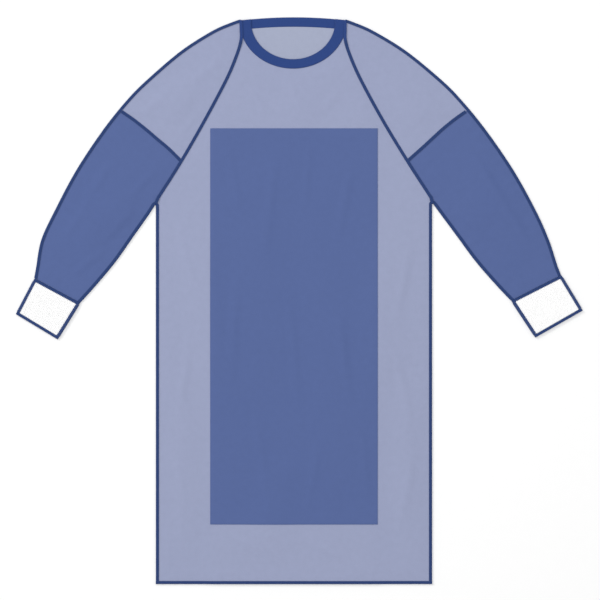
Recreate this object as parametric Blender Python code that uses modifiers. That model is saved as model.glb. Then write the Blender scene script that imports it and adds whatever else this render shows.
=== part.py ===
"""Surgical gown with raglan sleeves, laid flat on its back, front up.

The neck points to +Y, the hem to -Y, and +X is the right-hand side as it is looked at.
Cut sizes are in millimetres, across from the centre line and down from the top of the
neckband. Each cloth piece is an open surface with a Solidify wall. The floor is z = 0.
"""

import math

import bmesh
import bpy
from mathutils import Vector
from mathutils.geometry import delaunay_2d_cdt, intersect_line_line_2d

MM = 0.001

# Walls and gaps
CLOTH = 1.0
BAND_CLOTH = 2.0
KNIT = 1.5
GAP = 0.3
LAYER = CLOTH + GAP

# Seams: tapes lie over them, and bindings fold over the outer edges
TAPE_WIDTH = 7.0
HALF_TAPE = TAPE_WIDTH / 2
EDGE_INSET = CLOTH + GAP
ARMPIT_RADIUS = 1.5
TAPE_STARTS = 39.0
TAPE_ENDS = 8.0
END_CUT = 12.0

# Body
LENGTH = 1270.0
BODY_HALF_WIDTH = 306.0
PANEL_HALF_WIDTH = 187.5
PANEL_TOP = 249.0
PANEL_BOTTOM = 1136.0

# Neck
NECK_SHIFT = -2.0
BAND_DROP = 7.0
BAND_WIDTH = 21.0
BAND_OUTER = {"across": 120.0, "deep": 107.0, "centre": 8.0}
BAND_INNER = {"across": 94.0, "deep": 84.0, "centre": 10.0}

# Back: each panel runs on past the centre line to a free edge
FREE_EDGE = 103.0
STEP_STARTS = 112.0
STEP_ENDS = 155.0
FRONT_STEP_STARTS = 165.0
FRONT_STEP_ENDS = 225.0

# Cuffs
RING_LENGTH = 7.0
CUFF_HEIGHT = 4.4
CUFF_POINTS = 7
RIB_PITCH = 3.4
RIB_DEPTH = 0.7
RIB_ROWS = 2

# Distance between points
SEAM_STEP = 40.0
FRONT_STEP = 50.0
BACK_STEP = 150.0
EDGE_ROW = 8.0
FOLD_FADE = 55.0

# Drawing of the outlines
SAME_POINT = 0.25
LONGEST_MITRE = 2.0
OVERSHOOT = 20.0
SHARP_ANGLE = 40.0

# Seam lines: how far down they are, and how far out on each side
COLUMNS = ("down", "left", "right")
OVERARM = (
    (8, 118.5, 114),
    (15, 139, 134),
    (34, 182, 177),
    (78, 251, 249),
    (141, 325, 326),
    (186, 370, 371),
    (253, 424, 426),
    (343, 484, 488),
    (433, 532, 538),
    (500, 563, 568),
    (562, 574.5, 588.5),
    (590, 579.6, 601.4),
)
RAGLAN = (
    (6, 119, 114.5),
    (30, 118, 114.5),
    (52, 118.5, 115),
    (87, 129, 126),
    (141, 152, 150),
    (231, 200, 199),
    (325, 254, 256),
    (404, 304, 307),
    (418, 310, 310),
)
UNDERARM = (
    (404, 306, 306),
    (437, 326, 330),
    (491, 364, 370),
    (545, 402, 410),
    (599, 447, 457),
    (640, 484, 496),
)
SLEEVE_JOINT = (
    (209, 389, 388),
    (229, 360, 359.5),
    (251, 332, 332.5),
    (274, 305, 307.5),
    (296, 279, 283.5),
    (323, 252, 253),
)

# Ends of the cuffs, outer and inner corner: how far down, and how far out
CUFF_START = {"left": ((589.5, 579.5), (641, 484)), "right": ((582, 597.5), (636, 491.5))}
CUFF_END = {"left": ((663.5, 618.5), (717, 530.5)), "right": ((655.5, 642), (713, 542))}

# Soft folds of the front, from one end to the other
FOLD_COLUMNS = ("across_0", "down_0", "across_1", "down_1", "half_width", "height")
FOLDS = (
    (-235, 420, -150, 900, 75, 3.4),
    (-262, 760, -232, 1230, 60, 3.0),
    (-95, 330, -60, 860, 95, 2.6),
    (70, 520, 110, 1150, 90, 3.0),
    (228, 440, 160, 980, 75, 3.6),
    (250, 800, 262, 1230, 60, 2.8),
    (-20, 980, -70, 1240, 80, 3.0),
    (-40, 165, 60, 235, 60, 2.0),
    (-180, 110, -330, 260, 75, 3.4),
    (-345, 300, -520, 560, 80, 4.0),
    (-300, 400, -430, 470, 60, 2.6),
    (178, 112, 330, 262, 75, 3.4),
    (350, 300, 530, 550, 80, 4.0),
    (310, 395, 440, 475, 60, 2.6),
)

COLOURS = {
    "Body cloth": (0.337, 0.371, 0.552, 0.85),
    "Reinforced cloth": (0.105, 0.153, 0.347, 0.75),
    "Navy binding": (0.031, 0.070, 0.251, 0.8),
    "White knit": (0.90, 0.91, 0.92, 0.95),
}
COLLECTION = "Surgical gown"
SIDES = {"left": -1, "right": 1}


def clear_scene():
    for thing in list(bpy.data.objects):
        bpy.data.objects.remove(thing, do_unlink=True)


def make_material(name):
    red, green, blue, roughness = COLOURS[name]
    material = bpy.data.materials.new(name)
    material.use_nodes = True
    shader = material.node_tree.nodes["Principled BSDF"]
    shader.inputs["Base Color"].default_value = (red, green, blue, 1.0)
    shader.inputs["Roughness"].default_value = roughness
    return material


def point(across, down):
    return Vector((across, -down))


def side_points(table, side):
    """The rows of a seam table as points on one side of the gown."""
    column = COLUMNS.index(side)
    return [point(SIDES[side] * row[column], row[0]) for row in table]


# Curves

def smooth_curve(points, step=SEAM_STEP):
    """A smooth curve through the points, with a point about every step."""
    ends = [points[0] * 2 - points[1]] + list(points) + [points[-1] * 2 - points[-2]]
    curve = []
    for before, start, end, after in zip(ends, ends[1:], ends[2:], ends[3:]):
        count = max(1, round((end - start).length / step))
        for number in range(count):
            t = number / count
            curve.append(
                0.5 * (2 * start + (end - before) * t
                       + (2 * before - 5 * start + 4 * end - after) * t ** 2
                       + (3 * start - before - 3 * end + after) * t ** 3))
    curve.append(points[-1])
    return curve


def normals(curve):
    """The direction to the left of the curve at each point."""
    result = []
    for number in range(len(curve)):
        ahead = curve[min(number + 1, len(curve) - 1)] - curve[number]
        behind = curve[number] - curve[max(number - 1, 0)]
        along = ahead.normalized() + behind.normalized()
        along.normalize()
        result.append(Vector((-along.y, along.x)))
    return result


def offset(curve, distance):
    """The curve moved to its left, with its corners mitred."""
    moved = []
    for number, normal in enumerate(normals(curve)):
        stretch = 1.0
        if 0 < number < len(curve) - 1:
            along = (curve[number + 1] - curve[number]).normalized()
            lean = Vector((-along.y, along.x)).dot(normal)
            stretch = 1 / max(1 / LONGEST_MITRE, lean)
        moved.append(curve[number] + normal * distance * stretch)
    return moved


def extended(curve, length=OVERSHOOT):
    start = curve[0] + (curve[0] - curve[1]).normalized() * length
    end = curve[-1] + (curve[-1] - curve[-2]).normalized() * length
    return [start] + list(curve) + [end]


def crossing(first, second):
    """Where two curves cross: the segment on each, and the point."""
    for number in reversed(range(len(first) - 1)):
        for other in range(len(second) - 1):
            found = intersect_line_line_2d(
                first[number], first[number + 1], second[other], second[other + 1])
            if found:
                return number, other, found
    raise ValueError("two edges of a piece do not meet")


def clean(curve, closed=False):
    """The curve without points that nearly coincide."""
    kept = [curve[0]]
    for place in curve[1:]:
        if (place - kept[-1]).length > SAME_POINT:
            kept.append(place)
    if closed and (kept[0] - kept[-1]).length < SAME_POINT:
        kept.pop()
    return kept


def outline(*edges):
    """The closed outline whose edges are cut where each crosses the next."""
    edges = [extended(edge) for edge in edges]
    for number in range(len(edges)):
        following = (number + 1) % len(edges)
        first, second = edges[number], edges[following]
        cut, other, corner = crossing(first, second)
        edges[number] = first[:cut + 1] + [corner]
        edges[following] = [corner] + second[other + 1:]
    ring = clean([place for edge in edges for place in edge[:-1]], closed=True)
    area = sum(a.cross(b) for a, b in zip(ring, ring[1:] + ring[:1]))
    if area < 0:
        ring.reverse()
    return ring


def clipped(curve, start, end):
    """The curve without its first and last millimetres."""
    for length in (end, start):
        curve = list(reversed(curve))
        while (curve[1] - curve[0]).length <= length:
            length -= (curve[1] - curve[0]).length
            curve.pop(0)
        curve[0] = curve[0] + (curve[1] - curve[0]).normalized() * length
    return curve


def ended(curve, border):
    """The curve cut off, or run on, where it meets the line that it ends at."""
    curve = extended(curve)
    cut, _, place = crossing(curve, extended(border))
    return curve[1:cut + 1] + [place]


def straight(start, end, step=SEAM_STEP):
    count = max(1, round((end - start).length / step))
    return [start.lerp(end, number / count) for number in range(count + 1)]


def filleted(first, second, radius, segments=6):
    """Two curves joined where they cross, by an arc."""
    cut, other, corner = crossing(extended(first), extended(second))
    first = extended(first)[1:cut + 1]
    second = extended(second)[other + 1:-1]
    back = (first[-1] - corner).normalized()
    on = (second[0] - corner).normalized()
    half_angle = back.angle(on) / 2
    reach = radius / math.tan(half_angle)
    middle = corner + (back + on).normalized() * radius / math.sin(half_angle)
    start = corner + back * reach - middle
    turn = start.angle_signed(corner + on * reach - middle)
    arc = []
    for number in range(segments + 1):
        angle = -turn * number / segments
        arc.append(middle + Vector((
            start.x * math.cos(angle) - start.y * math.sin(angle),
            start.x * math.sin(angle) + start.y * math.cos(angle))))
    return clean(first + arc + second)


def neck_curve(ellipse, gap=0.0, count=20):
    """The lower half of an ellipse round the neck, from left to right."""
    across, deep = ellipse["across"] + gap, ellipse["deep"] + gap
    curve = []
    for number in range(count + 1):
        angle = math.pi * number / count
        curve.append(point(NECK_SHIFT - across * math.cos(angle),
                           ellipse["centre"] + deep * math.sin(angle)))
    return curve


def band_edge(down, start=-BAND_OUTER["across"] - 10, end=BAND_OUTER["across"] + 10):
    """A line across the back of the neck, bowed up in the middle."""
    places = straight(point(start, 0), point(end, 0), SEAM_STEP / 2)
    return [point(place.x, down + BAND_DROP * (place.x / BAND_OUTER["across"]) ** 2)
            for place in places]


# The gown's lines, on both sides

def seam_lines():
    lines = {"top": band_edge(0.0), "band_foot": band_edge(BAND_WIDTH)}
    for side, sign in SIDES.items():
        out = sign * HALF_TAPE
        lines["raglan", side] = smooth_curve(side_points(RAGLAN, side))
        lines["joint", side] = smooth_curve(side_points(SLEEVE_JOINT, side))
        overarm = smooth_curve(side_points(OVERARM, side))
        lines["overarm", side] = offset(overarm, out)
        underarm = offset(smooth_curve(side_points(UNDERARM, side)), -out)
        side_edge = straight(point(sign * (BODY_HALF_WIDTH + HALF_TAPE), LENGTH),
                             point(sign * (BODY_HALF_WIDTH + HALF_TAPE), UNDERARM[0][0]))
        lines["side", side] = filleted(side_edge, underarm, ARMPIT_RADIUS)
        for name, table in (("cuff_start", CUFF_START), ("cuff_end", CUFF_END)):
            lines[name, side] = [point(sign * across, down) for down, across in table[side]]
        for name in ("overarm", "side"):
            lines[name, side] = clean(ended(lines[name, side], lines["cuff_start", side]))
    return lines


# Heights

def ramp(value, start, end):
    t = min(1.0, max(0.0, (value - start) / (end - start)))
    return t * t * (3 - 2 * t)


def floor_level(place):
    return 0.0


def inner_level(place):
    """The inner back panel lies on the outer one, then steps down to the floor."""
    return LAYER * (1 - ramp(place.x, STEP_STARTS, STEP_ENDS))


def front_level(place):
    """The front lies on both back panels in the middle, and on one further out."""
    return LAYER * (2 - ramp(abs(place.x), FRONT_STEP_STARTS, FRONT_STEP_ENDS))


def distance_to(curve, place):
    nearest = math.inf
    for start, end in zip(curve, curve[1:]):
        along = end - start
        t = max(0.0, min(1.0, (place - start).dot(along) / along.length_squared))
        nearest = min(nearest, (place - start - along * t).length)
    return nearest


def fold_height(place):
    """The soft folds at a place, each a low ridge that fades at its ends."""
    total = 0.0
    for row in FOLDS:
        fold = dict(zip(FOLD_COLUMNS, row))
        start = point(fold["across_0"], fold["down_0"])
        along = point(fold["across_1"], fold["down_1"]) - start
        t = (place - start).dot(along) / along.length_squared
        aside = (place - start - along * t).length / fold["half_width"]
        if 0 < t < 1 and aside < 1:
            total += fold["height"] * math.sin(math.pi * t) * math.cos(aside * math.pi / 2) ** 2
    return total


def front_height(seams):
    """The height of the front cloth, whose folds end short of every seam."""
    def height(place):
        nearest = min(distance_to(seam, place) for seam in seams)
        fade = ramp(nearest, EDGE_ROW + 1, EDGE_ROW + FOLD_FADE)
        return front_level(place) + fade * fold_height(place)
    return height


# Surfaces

def inside(ring, place):
    odd = False
    for start, end in zip(ring, ring[1:] + ring[:1]):
        if (start.y > place.y) != (end.y > place.y):
            reach = start.x + (place.y - start.y) * (end.x - start.x) / (end.y - start.y)
            if place.x < reach:
                odd = not odd
    return odd


def rectangle(half_width, top, bottom, step=FRONT_STEP):
    corners = [point(-half_width, bottom), point(half_width, bottom),
               point(half_width, top), point(-half_width, top)]
    ring = []
    for start, end in zip(corners, corners[1:] + corners[:1]):
        ring += straight(start, end, step)[:-1]
    return ring


def triangulate(ring, step, rows=(), lines=()):
    """A net of triangles that fills a ring, with the lines as edges in it."""
    places = list(ring)
    edges = []
    for line in lines:
        closed = line + line[:1] if len(line) > 2 else line
        first = len(places)
        places += line
        edges += [(first + n, first + (n + 1) % len(line)) for n in range(len(closed) - 1)]
    borders = [ring + ring[:1]] + [line + line[:1] for line in lines]
    for distance in rows:
        for place in offset(ring + ring[:2], distance)[1:-1]:
            near = min(distance_to(border, place) for border in borders)
            if inside(ring, place) and near > 0.8 * distance:
                places.append(place)
    row_height = step * math.sqrt(3) / 2
    low = Vector((min(p.x for p in ring), min(p.y for p in ring)))
    high = Vector((max(p.x for p in ring), max(p.y for p in ring)))
    for row in range(int((high.y - low.y) / row_height) + 1):
        for column in range(int((high.x - low.x) / step) + 2):
            place = low + Vector(((column - 0.5 * (row % 2)) * step, row * row_height))
            near = min(distance_to(border, place) for border in borders)
            if inside(ring, place) and near > 0.5 * step:
                places.append(place)
    points, _, faces, *_ = delaunay_2d_cdt(
        places, edges, [list(range(len(ring)))], 1, 0.001)
    return points, faces


def add_surface(name, points, faces, material, wall, toward):
    """An open surface, in millimetres, with a wall of the given thickness on it."""
    mesh = bpy.data.meshes.new(name)
    mesh.from_pydata([Vector(p) * MM for p in points], [], faces)
    mesh.materials.append(material)
    thing = bpy.data.objects.new(name, mesh)
    bpy.data.collections[COLLECTION].objects.link(thing)
    solid = thing.modifiers.new("Wall", "SOLIDIFY")
    solid.thickness = wall * MM
    solid.offset = toward
    solid.use_even_offset = True
    mesh.shade_smooth()
    mesh.set_sharp_from_angle(angle=math.radians(SHARP_ANGLE))
    return thing


def add_cloth(name, net, height, material, wall=CLOTH, lift=0.0):
    """A cloth piece: a net raised to a height, with its wall above it."""
    places, faces = net
    points = [(p.x, p.y, height(p) + lift) for p in places]
    upward = []
    for face in faces:
        a, b, c = (places[number] for number in face[:3])
        upward.append(face if (b - a).cross(c - a) > 0 else face[::-1])
    return add_surface(name, points, upward, material, wall, 1.0)


def add_ribbon(name, rails, material, wall=CLOTH, closed=False):
    """A strip through the rails, whose wall goes in from its outer face."""
    count = len(rails[0])
    points = [place for rail in rails for place in rail]
    faces = []
    for row in range(len(rails) if closed else len(rails) - 1):
        low, high = row * count, (row + 1) % len(rails) * count
        for number in range(count - 1):
            faces.append((low + number, low + number + 1, high + number + 1, high + number))
    thing = add_surface(name, points, faces, material, wall, -1.0)
    net = bmesh.new()
    net.from_mesh(thing.data)
    net.normal_update()
    top = max(net.faces, key=lambda face: face.calc_center_median().z - 1e-6 * face.index)
    if top.normal.z < 0:
        bmesh.ops.reverse_faces(net, faces=net.faces)
    net.to_mesh(thing.data)
    net.free()
    return thing


def raised(curve, height, lift=0.0):
    return [Vector((place.x, place.y, height(place) + lift)) for place in curve]


# Pieces

def front_pieces(lines, materials, height):
    raglan = {side: offset(lines["raglan", side], SIDES[side] * -GAP / 2) for side in SIDES}
    edge = {side: offset(lines["side", side], SIDES[side] * EDGE_INSET) for side in SIDES}
    hem = straight(point(-BODY_HALF_WIDTH, LENGTH - EDGE_INSET),
                   point(BODY_HALF_WIDTH, LENGTH - EDGE_INSET))
    neck = neck_curve(BAND_OUTER, GAP)
    ring = outline(raglan["left"], edge["left"][::-1], hem, edge["right"],
                   raglan["right"][::-1], neck[::-1])
    panel = rectangle(PANEL_HALF_WIDTH, PANEL_TOP, PANEL_BOTTOM)
    net = triangulate(ring, FRONT_STEP, rows=(EDGE_ROW,), lines=(panel,))
    add_cloth("front_panel", net, height, materials["Body cloth"])
    points, faces = net
    over = []
    for face in faces:
        middle = sum((points[number] for number in face), Vector((0, 0))) / len(face)
        if inside(panel, middle):
            over.append(face)
    used = sorted({number for face in over for number in face})
    renumbered = {number: place for place, number in enumerate(used)}
    patch = ([points[number] for number in used],
             [[renumbered[number] for number in face] for face in over])
    add_cloth("front_reinforcement", patch, height, materials["Reinforced cloth"], lift=LAYER)


def back_panels(lines, materials):
    clear = HALF_TAPE + GAP
    foot = band_edge(BAND_WIDTH + GAP)
    hem_down = LENGTH - TAPE_WIDTH - GAP
    for name, side, level in (("outer", "left", floor_level), ("inner", "right", inner_level)):
        sign = SIDES[side]
        raglan = offset(lines["raglan", side], -sign * clear)
        edge = offset(lines["side", side], sign * EDGE_INSET)
        free = straight(point(-sign * FREE_EDGE, hem_down), point(-sign * FREE_EDGE, BAND_WIDTH))
        hem = straight(point(sign * BODY_HALF_WIDTH, hem_down),
                       point(-sign * FREE_EDGE, hem_down))
        ring = outline(raglan, edge[::-1], hem, free, foot if sign > 0 else foot[::-1])
        steps = []
        if level is inner_level:
            steps = [straight(point(x, hem_down - EDGE_ROW), point(x, PANEL_TOP), BACK_STEP)
                     for x in (STEP_STARTS, STEP_ENDS)]
        net = triangulate(ring, BACK_STEP, lines=steps)
        add_cloth("back_panel_" + name, net, level, materials["Body cloth"])
        strip = outline(straight(point(sign * BODY_HALF_WIDTH, LENGTH),
                                 point(-sign * FREE_EDGE, LENGTH)), free,
                        straight(point(-sign * FREE_EDGE, LENGTH - TAPE_WIDTH),
                                 point(sign * BODY_HALF_WIDTH, LENGTH - TAPE_WIDTH)),
                        lines["side", side][::-1])
        add_cloth("hem_binding_back_" + name, triangulate(strip, BACK_STEP), level,
                  materials["Navy binding"])


def neckband(lines, materials):
    navy = materials["Navy binding"]
    inner = neck_curve(BAND_INNER)
    inner = [point(inner[0].x, 0.0)] + inner + [point(inner[-1].x, 0.0)]
    seam = {side: offset(lines["raglan", side], SIDES[side] * -GAP / 2) for side in SIDES}
    top = lines["top"]
    middle = len(top) // 2
    ring = outline(top[:middle][::-1], seam["left"], neck_curve(BAND_OUTER),
                   seam["right"][::-1], top[middle + 1:][::-1], inner[::-1])
    add_cloth("neckband_front", triangulate(ring, SEAM_STEP), front_level, navy, BAND_CLOTH)
    for name, side, level in (("outer", "left", floor_level), ("inner", "right", inner_level)):
        sign = SIDES[side]
        edge = offset(lines["raglan", side], -sign * (HALF_TAPE + GAP))
        free = straight(point(-sign * FREE_EDGE, BAND_WIDTH + BAND_DROP),
                        point(-sign * FREE_EDGE, BAND_DROP))
        foot = lines["band_foot"]
        ring = outline(edge, foot[::sign * -1], free, top[::sign])
        add_cloth("neckband_back_" + name, triangulate(ring, SEAM_STEP), level, navy)


def sleeve_pieces(side, lines, materials, height):
    """The upper and lower pieces of one sleeve, in front and behind."""
    sign = SIDES[side]
    overarm = offset(lines["overarm", side], -sign * EDGE_INSET)
    edge = offset(lines["side", side], sign * EDGE_INSET)
    layers = (
        ("front", GAP / 2, height, FRONT_STEP, (EDGE_ROW,)),
        ("back", HALF_TAPE + GAP, floor_level if side == "left" else inner_level,
         BACK_STEP, ()),
    )
    cuff = offset(lines["cuff_start", side], -sign * (HALF_TAPE + GAP))
    for layer, clear, level, step, rows in layers:
        raglan = offset(lines["raglan", side], sign * clear)
        above = offset(lines["joint", side], -sign * clear)
        below = offset(lines["joint", side], sign * clear)
        upper = outline(overarm, above, raglan[::-1])
        lower = outline(below[::-1], overarm, cuff, edge[::-1], raglan[::-1])
        for name, ring, cloth in (("upper", upper, "Body cloth"),
                                  ("lower", lower, "Reinforced cloth")):
            add_cloth("sleeve_{}_{}_{}".format(name, layer, side),
                      triangulate(ring, step, rows), level, materials[cloth])


def seam_tapes(side, lines, materials, height):
    navy = materials["Navy binding"]
    sign = SIDES[side]
    seams = {
        "raglan": clipped(lines["raglan", side], TAPE_STARTS, TAPE_ENDS),
        "sleeve_joint": clipped(lines["joint", side], TAPE_WIDTH, TAPE_WIDTH),
    }
    for name, seam in seams.items():
        rails = [raised(offset(seam, shift), height, LAYER + CLOTH)
                 for shift in (HALF_TAPE, 0.0, -HALF_TAPE)]
        add_ribbon("{}_tape_front_{}".format(name, side), rails, navy)
    level = floor_level if side == "left" else inner_level
    raglan = lines["raglan", side]
    edge = offset(lines["side", side], sign * EDGE_INSET)
    strip = outline(offset(raglan, -sign * HALF_TAPE), edge,
                    offset(raglan, sign * HALF_TAPE)[::-1], lines["top"][::-sign])
    add_cloth("raglan_tape_back_" + side, triangulate(strip, BACK_STEP), level, navy)
    joint = lines["joint", side]
    strip = outline(offset(joint, -sign * HALF_TAPE),
                    offset(raglan, sign * (HALF_TAPE + GAP)),
                    offset(joint, sign * HALF_TAPE)[::-1],
                    offset(lines["overarm", side], -sign * EDGE_INSET)[::-1])
    add_cloth("sleeve_joint_tape_back_" + side, triangulate(strip, BACK_STEP), floor_level, navy)


def folded_binding(name, rail, inner, height, bottom, material, border=None):
    """A tape folded over an edge: a wall outside the cloth and a lip on top of it."""
    top = LAYER + CLOTH
    if border:
        rail, inner = ended(rail, border), ended(inner, border)
    rails = [raised(rail, bottom), raised(rail, height, top), raised(inner, height, top)]
    add_ribbon(name, rails, material)


def edge_bindings(side, lines, materials, height):
    navy = materials["Navy binding"]
    sign = SIDES[side]
    border = offset(lines["cuff_start", side], -sign * (HALF_TAPE + GAP))
    overarm = clipped(lines["overarm", side], TAPE_WIDTH, END_CUT)
    folded_binding("overarm_binding_" + side, overarm, offset(overarm, -sign * TAPE_WIDTH),
                   height, floor_level, navy, border)
    edge = clipped(lines["side", side], TAPE_WIDTH + GAP, END_CUT)
    inner = offset(edge, sign * TAPE_WIDTH)
    armpit = max(range(len(edge)), key=lambda number: edge[number].y)
    parted = GAP / 2 / (edge[armpit] - edge[armpit - 1]).length
    for name, before, after in (("side", 0, armpit + 1), ("underarm", armpit, len(edge))):
        pair = [rail[before:after] for rail in (edge, inner)]
        for rail in pair:
            if before:
                rail[0] = rail[0].lerp(rail[1], parted)
            else:
                rail[-1] = rail[-1].lerp(rail[-2], parted)
        folded_binding("{}_binding_{}".format(name, side), *pair, height, floor_level, navy,
                       border if before else None)


def flat_tube(name, start, end, wall, material):
    """A flattened tube between two lines across it, resting on the floor."""
    rails = []
    radius = CUFF_HEIGHT / 2
    section = []
    for turn in (0, 1):
        for number in range(CUFF_POINTS):
            angle = math.pi * (number / (CUFF_POINTS - 1) - 0.5) + math.pi * turn
            section.append((turn, math.cos(angle) * radius, math.sin(angle) * radius))
    for turn, reach, rise in section:
        rail = []
        for near, far in (start, end):
            across = (far - near).normalized()
            middle = near + across * radius if turn else far - across * radius
            rail.append(Vector((*(middle + across * reach), radius + rise)))
        rails.append(rail)
    add_ribbon(name, rails, material, wall, closed=True)


def tube_section(width, height, count):
    """Points evenly round a flattened tube, each with the direction that faces out."""
    radius = height / 2
    flat = width - height
    turn = math.pi * radius
    section = []
    for number in range(count):
        run = 2 * (flat + turn) * number / count
        below = run >= flat + turn
        run -= (flat + turn) * below
        along = -1 if below else 1
        if run < flat:
            section.append((along * (run - flat / 2), along * radius, 0.0, along))
        else:
            angle = (run - flat) / radius
            out = (along * math.sin(angle), along * math.cos(angle))
            section.append((along * flat / 2 + radius * out[0], radius * out[1], *out))
    return section


def ribbed_tube(name, start, end, material):
    """A flattened tube of rib knit: ribbed outside, plain inside, and flat where it rests."""
    count = 2 * round(2 * (start[1] - start[0]).length / RIB_PITCH)
    radius = CUFF_HEIGHT / 2
    net = bmesh.new()
    rings = []
    for row in range(RIB_ROWS + 1):
        near = start[0].lerp(end[0], row / RIB_ROWS)
        far = start[1].lerp(end[1], row / RIB_ROWS)
        across = (far - near).normalized()
        middle = (near + far) / 2
        section = tube_section((far - near).length, CUFF_HEIGHT, count)
        pair = ([], [])
        for number, (aside, up, out_aside, out_up) in enumerate(section):
            valley = RIB_DEPTH if number % 2 and out_up >= 0 else 0.0
            for ring, depth in zip(pair, (valley, KNIT)):
                place = middle + across * (aside - out_aside * depth)
                height = radius + up - out_up * depth
                ring.append(net.verts.new(Vector((place.x, place.y, height)) * MM))
        rings.append(pair)
    loops = [outer for outer, _ in rings] + [inner for _, inner in reversed(rings)]
    for low, high in zip(loops, loops[1:] + loops[:1]):
        for number in range(count):
            following = (number + 1) % count
            net.faces.new((low[number], low[following], high[following], high[number]))
    bmesh.ops.recalc_face_normals(net, faces=net.faces)
    mesh = bpy.data.meshes.new(name)
    net.to_mesh(mesh)
    net.free()
    mesh.materials.append(material)
    mesh.shade_smooth()
    mesh.set_sharp_from_angle(angle=math.radians(SHARP_ANGLE))
    thing = bpy.data.objects.new(name, mesh)
    bpy.data.collections[COLLECTION].objects.link(thing)


def cuff(side, lines, materials):
    """The cuff, with a seam ring where it joins the sleeve and an edge ring at its mouth."""
    start, end = lines["cuff_start", side], lines["cuff_end", side]
    along = (end[0] + end[1] - start[0] - start[1]).normalized()
    across = (start[1] - start[0]).normalized() * HALF_TAPE
    start = [start[0] - across, start[1] + across]
    end = [end[0] - across, end[1] + across]

    def cut(line, distance):
        return [place + along * distance for place in line]

    half = RING_LENGTH / 2
    flat_tube("cuff_seam_" + side, cut(start, -half), cut(start, half), KNIT,
              materials["Navy binding"])
    ribbed_tube("cuff_" + side, cut(start, half + GAP), cut(end, -half - GAP),
                materials["White knit"])
    flat_tube("cuff_edge_" + side, cut(end, -half), cut(end, half), KNIT,
              materials["Navy binding"])


def centre_on_origin():
    """Move every mesh so that the middle of the whole part is over the origin."""
    things = bpy.data.collections[COLLECTION].objects
    places = [vertex.co for thing in things for vertex in thing.data.vertices]
    middle = Vector([(min(p[axis] for p in places) + max(p[axis] for p in places)) / 2
                     for axis in (0, 1)] + [0.0])
    for thing in things:
        for vertex in thing.data.vertices:
            vertex.co -= middle


def main():
    clear_scene()
    collection = bpy.data.collections.new(COLLECTION)
    bpy.context.scene.collection.children.link(collection)
    materials = {name: make_material(name) for name in COLOURS}
    lines = seam_lines()
    seams = [lines[name, side] for side in SIDES
             for name in ("raglan", "joint", "overarm", "side", "cuff_start")]
    seams.append(neck_curve(BAND_OUTER))
    seams.append([point(-BODY_HALF_WIDTH, LENGTH), point(BODY_HALF_WIDTH, LENGTH)])
    height = front_height(seams)
    back_panels(lines, materials)
    front_pieces(lines, materials, height)
    neckband(lines, materials)
    for side in SIDES:
        sleeve_pieces(side, lines, materials, height)
        seam_tapes(side, lines, materials, height)
        edge_bindings(side, lines, materials, height)
        cuff(side, lines, materials)
    hem = straight(point(-BODY_HALF_WIDTH - HALF_TAPE, LENGTH),
                   point(BODY_HALF_WIDTH + HALF_TAPE, LENGTH))
    folded_binding("hem_binding_front", hem, offset(hem, TAPE_WIDTH), height, height,
                   materials["Navy binding"])
    centre_on_origin()


main()
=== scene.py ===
"""The looks of a surgical gown that lies flat on its back, front up.

Run it with Blender. Sizes are in millimetres, across from the gown's centre line and down
from the top of its neckband, as a cutter would chalk them. The frame gives their place.
"""

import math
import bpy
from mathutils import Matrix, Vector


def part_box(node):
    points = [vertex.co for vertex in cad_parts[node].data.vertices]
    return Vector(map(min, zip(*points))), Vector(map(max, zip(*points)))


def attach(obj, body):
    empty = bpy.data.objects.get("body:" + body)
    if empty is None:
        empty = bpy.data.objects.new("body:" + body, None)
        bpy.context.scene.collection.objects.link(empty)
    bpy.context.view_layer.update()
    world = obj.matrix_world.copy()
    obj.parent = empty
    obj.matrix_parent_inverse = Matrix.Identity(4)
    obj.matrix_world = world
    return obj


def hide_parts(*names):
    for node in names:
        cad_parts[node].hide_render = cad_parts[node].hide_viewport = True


bl_info = {
    "name": "Surgical gown",
    "version": (1, 0, 0),
    "blender": (4, 5, 0),
    "location": "3D View > Sidebar > Gown",
    "description": "Builds the cloth, bindings, cuffs and stitching of a surgical gown",
    "category": "Object",
}

from functools import lru_cache

import bpy
import numpy as np
from mathutils import Vector, noise
from mathutils.geometry import delaunay_2d_cdt, intersect_line_line_2d

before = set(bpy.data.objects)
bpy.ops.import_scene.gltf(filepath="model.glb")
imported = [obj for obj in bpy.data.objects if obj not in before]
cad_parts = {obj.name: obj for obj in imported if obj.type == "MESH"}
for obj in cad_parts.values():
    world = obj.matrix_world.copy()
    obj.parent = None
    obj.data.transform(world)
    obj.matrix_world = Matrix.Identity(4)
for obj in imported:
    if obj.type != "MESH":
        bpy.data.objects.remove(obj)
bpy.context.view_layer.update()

MM = 0.001

# Walls and gaps
CLOTH = 1.0
BAND_CLOTH = 2.0
KNIT = 1.5
GAP = 0.3
LAYER = CLOTH + GAP

# Seams
TAPE_WIDTH = 7.0
HALF_TAPE = TAPE_WIDTH / 2
EDGE_INSET = CLOTH + GAP
ARMPIT_RADIUS = 1.5
END_GAP = 0.8
END_CUT = 12.0

# Body
LENGTH = 1270.0
BODY_HALF_WIDTH = 306.0
PANEL_HALF_WIDTH = 187.5
PANEL_TOP = 249.0
PANEL_BOTTOM = 1136.0

# Neck
NECK_SHIFT = -2.0
BAND_DROP = 7.0
BAND_WIDTH = 21.0
BAND_RUN_OUT = 10.0
BAND_OUTER = {"across": 120.0, "deep": 107.0, "centre": 8.0}
BAND_INNER = {"across": 94.0, "deep": 84.0, "centre": 10.0}

# Back
FREE_EDGE = 103.0
STEP_STARTS = 112.0
STEP_ENDS = 155.0
FRONT_STEP_STARTS = 165.0
FRONT_STEP_ENDS = 225.0

# Cuffs
RING_LENGTH = 7.0
CUFF_HEIGHT = 4.4

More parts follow.
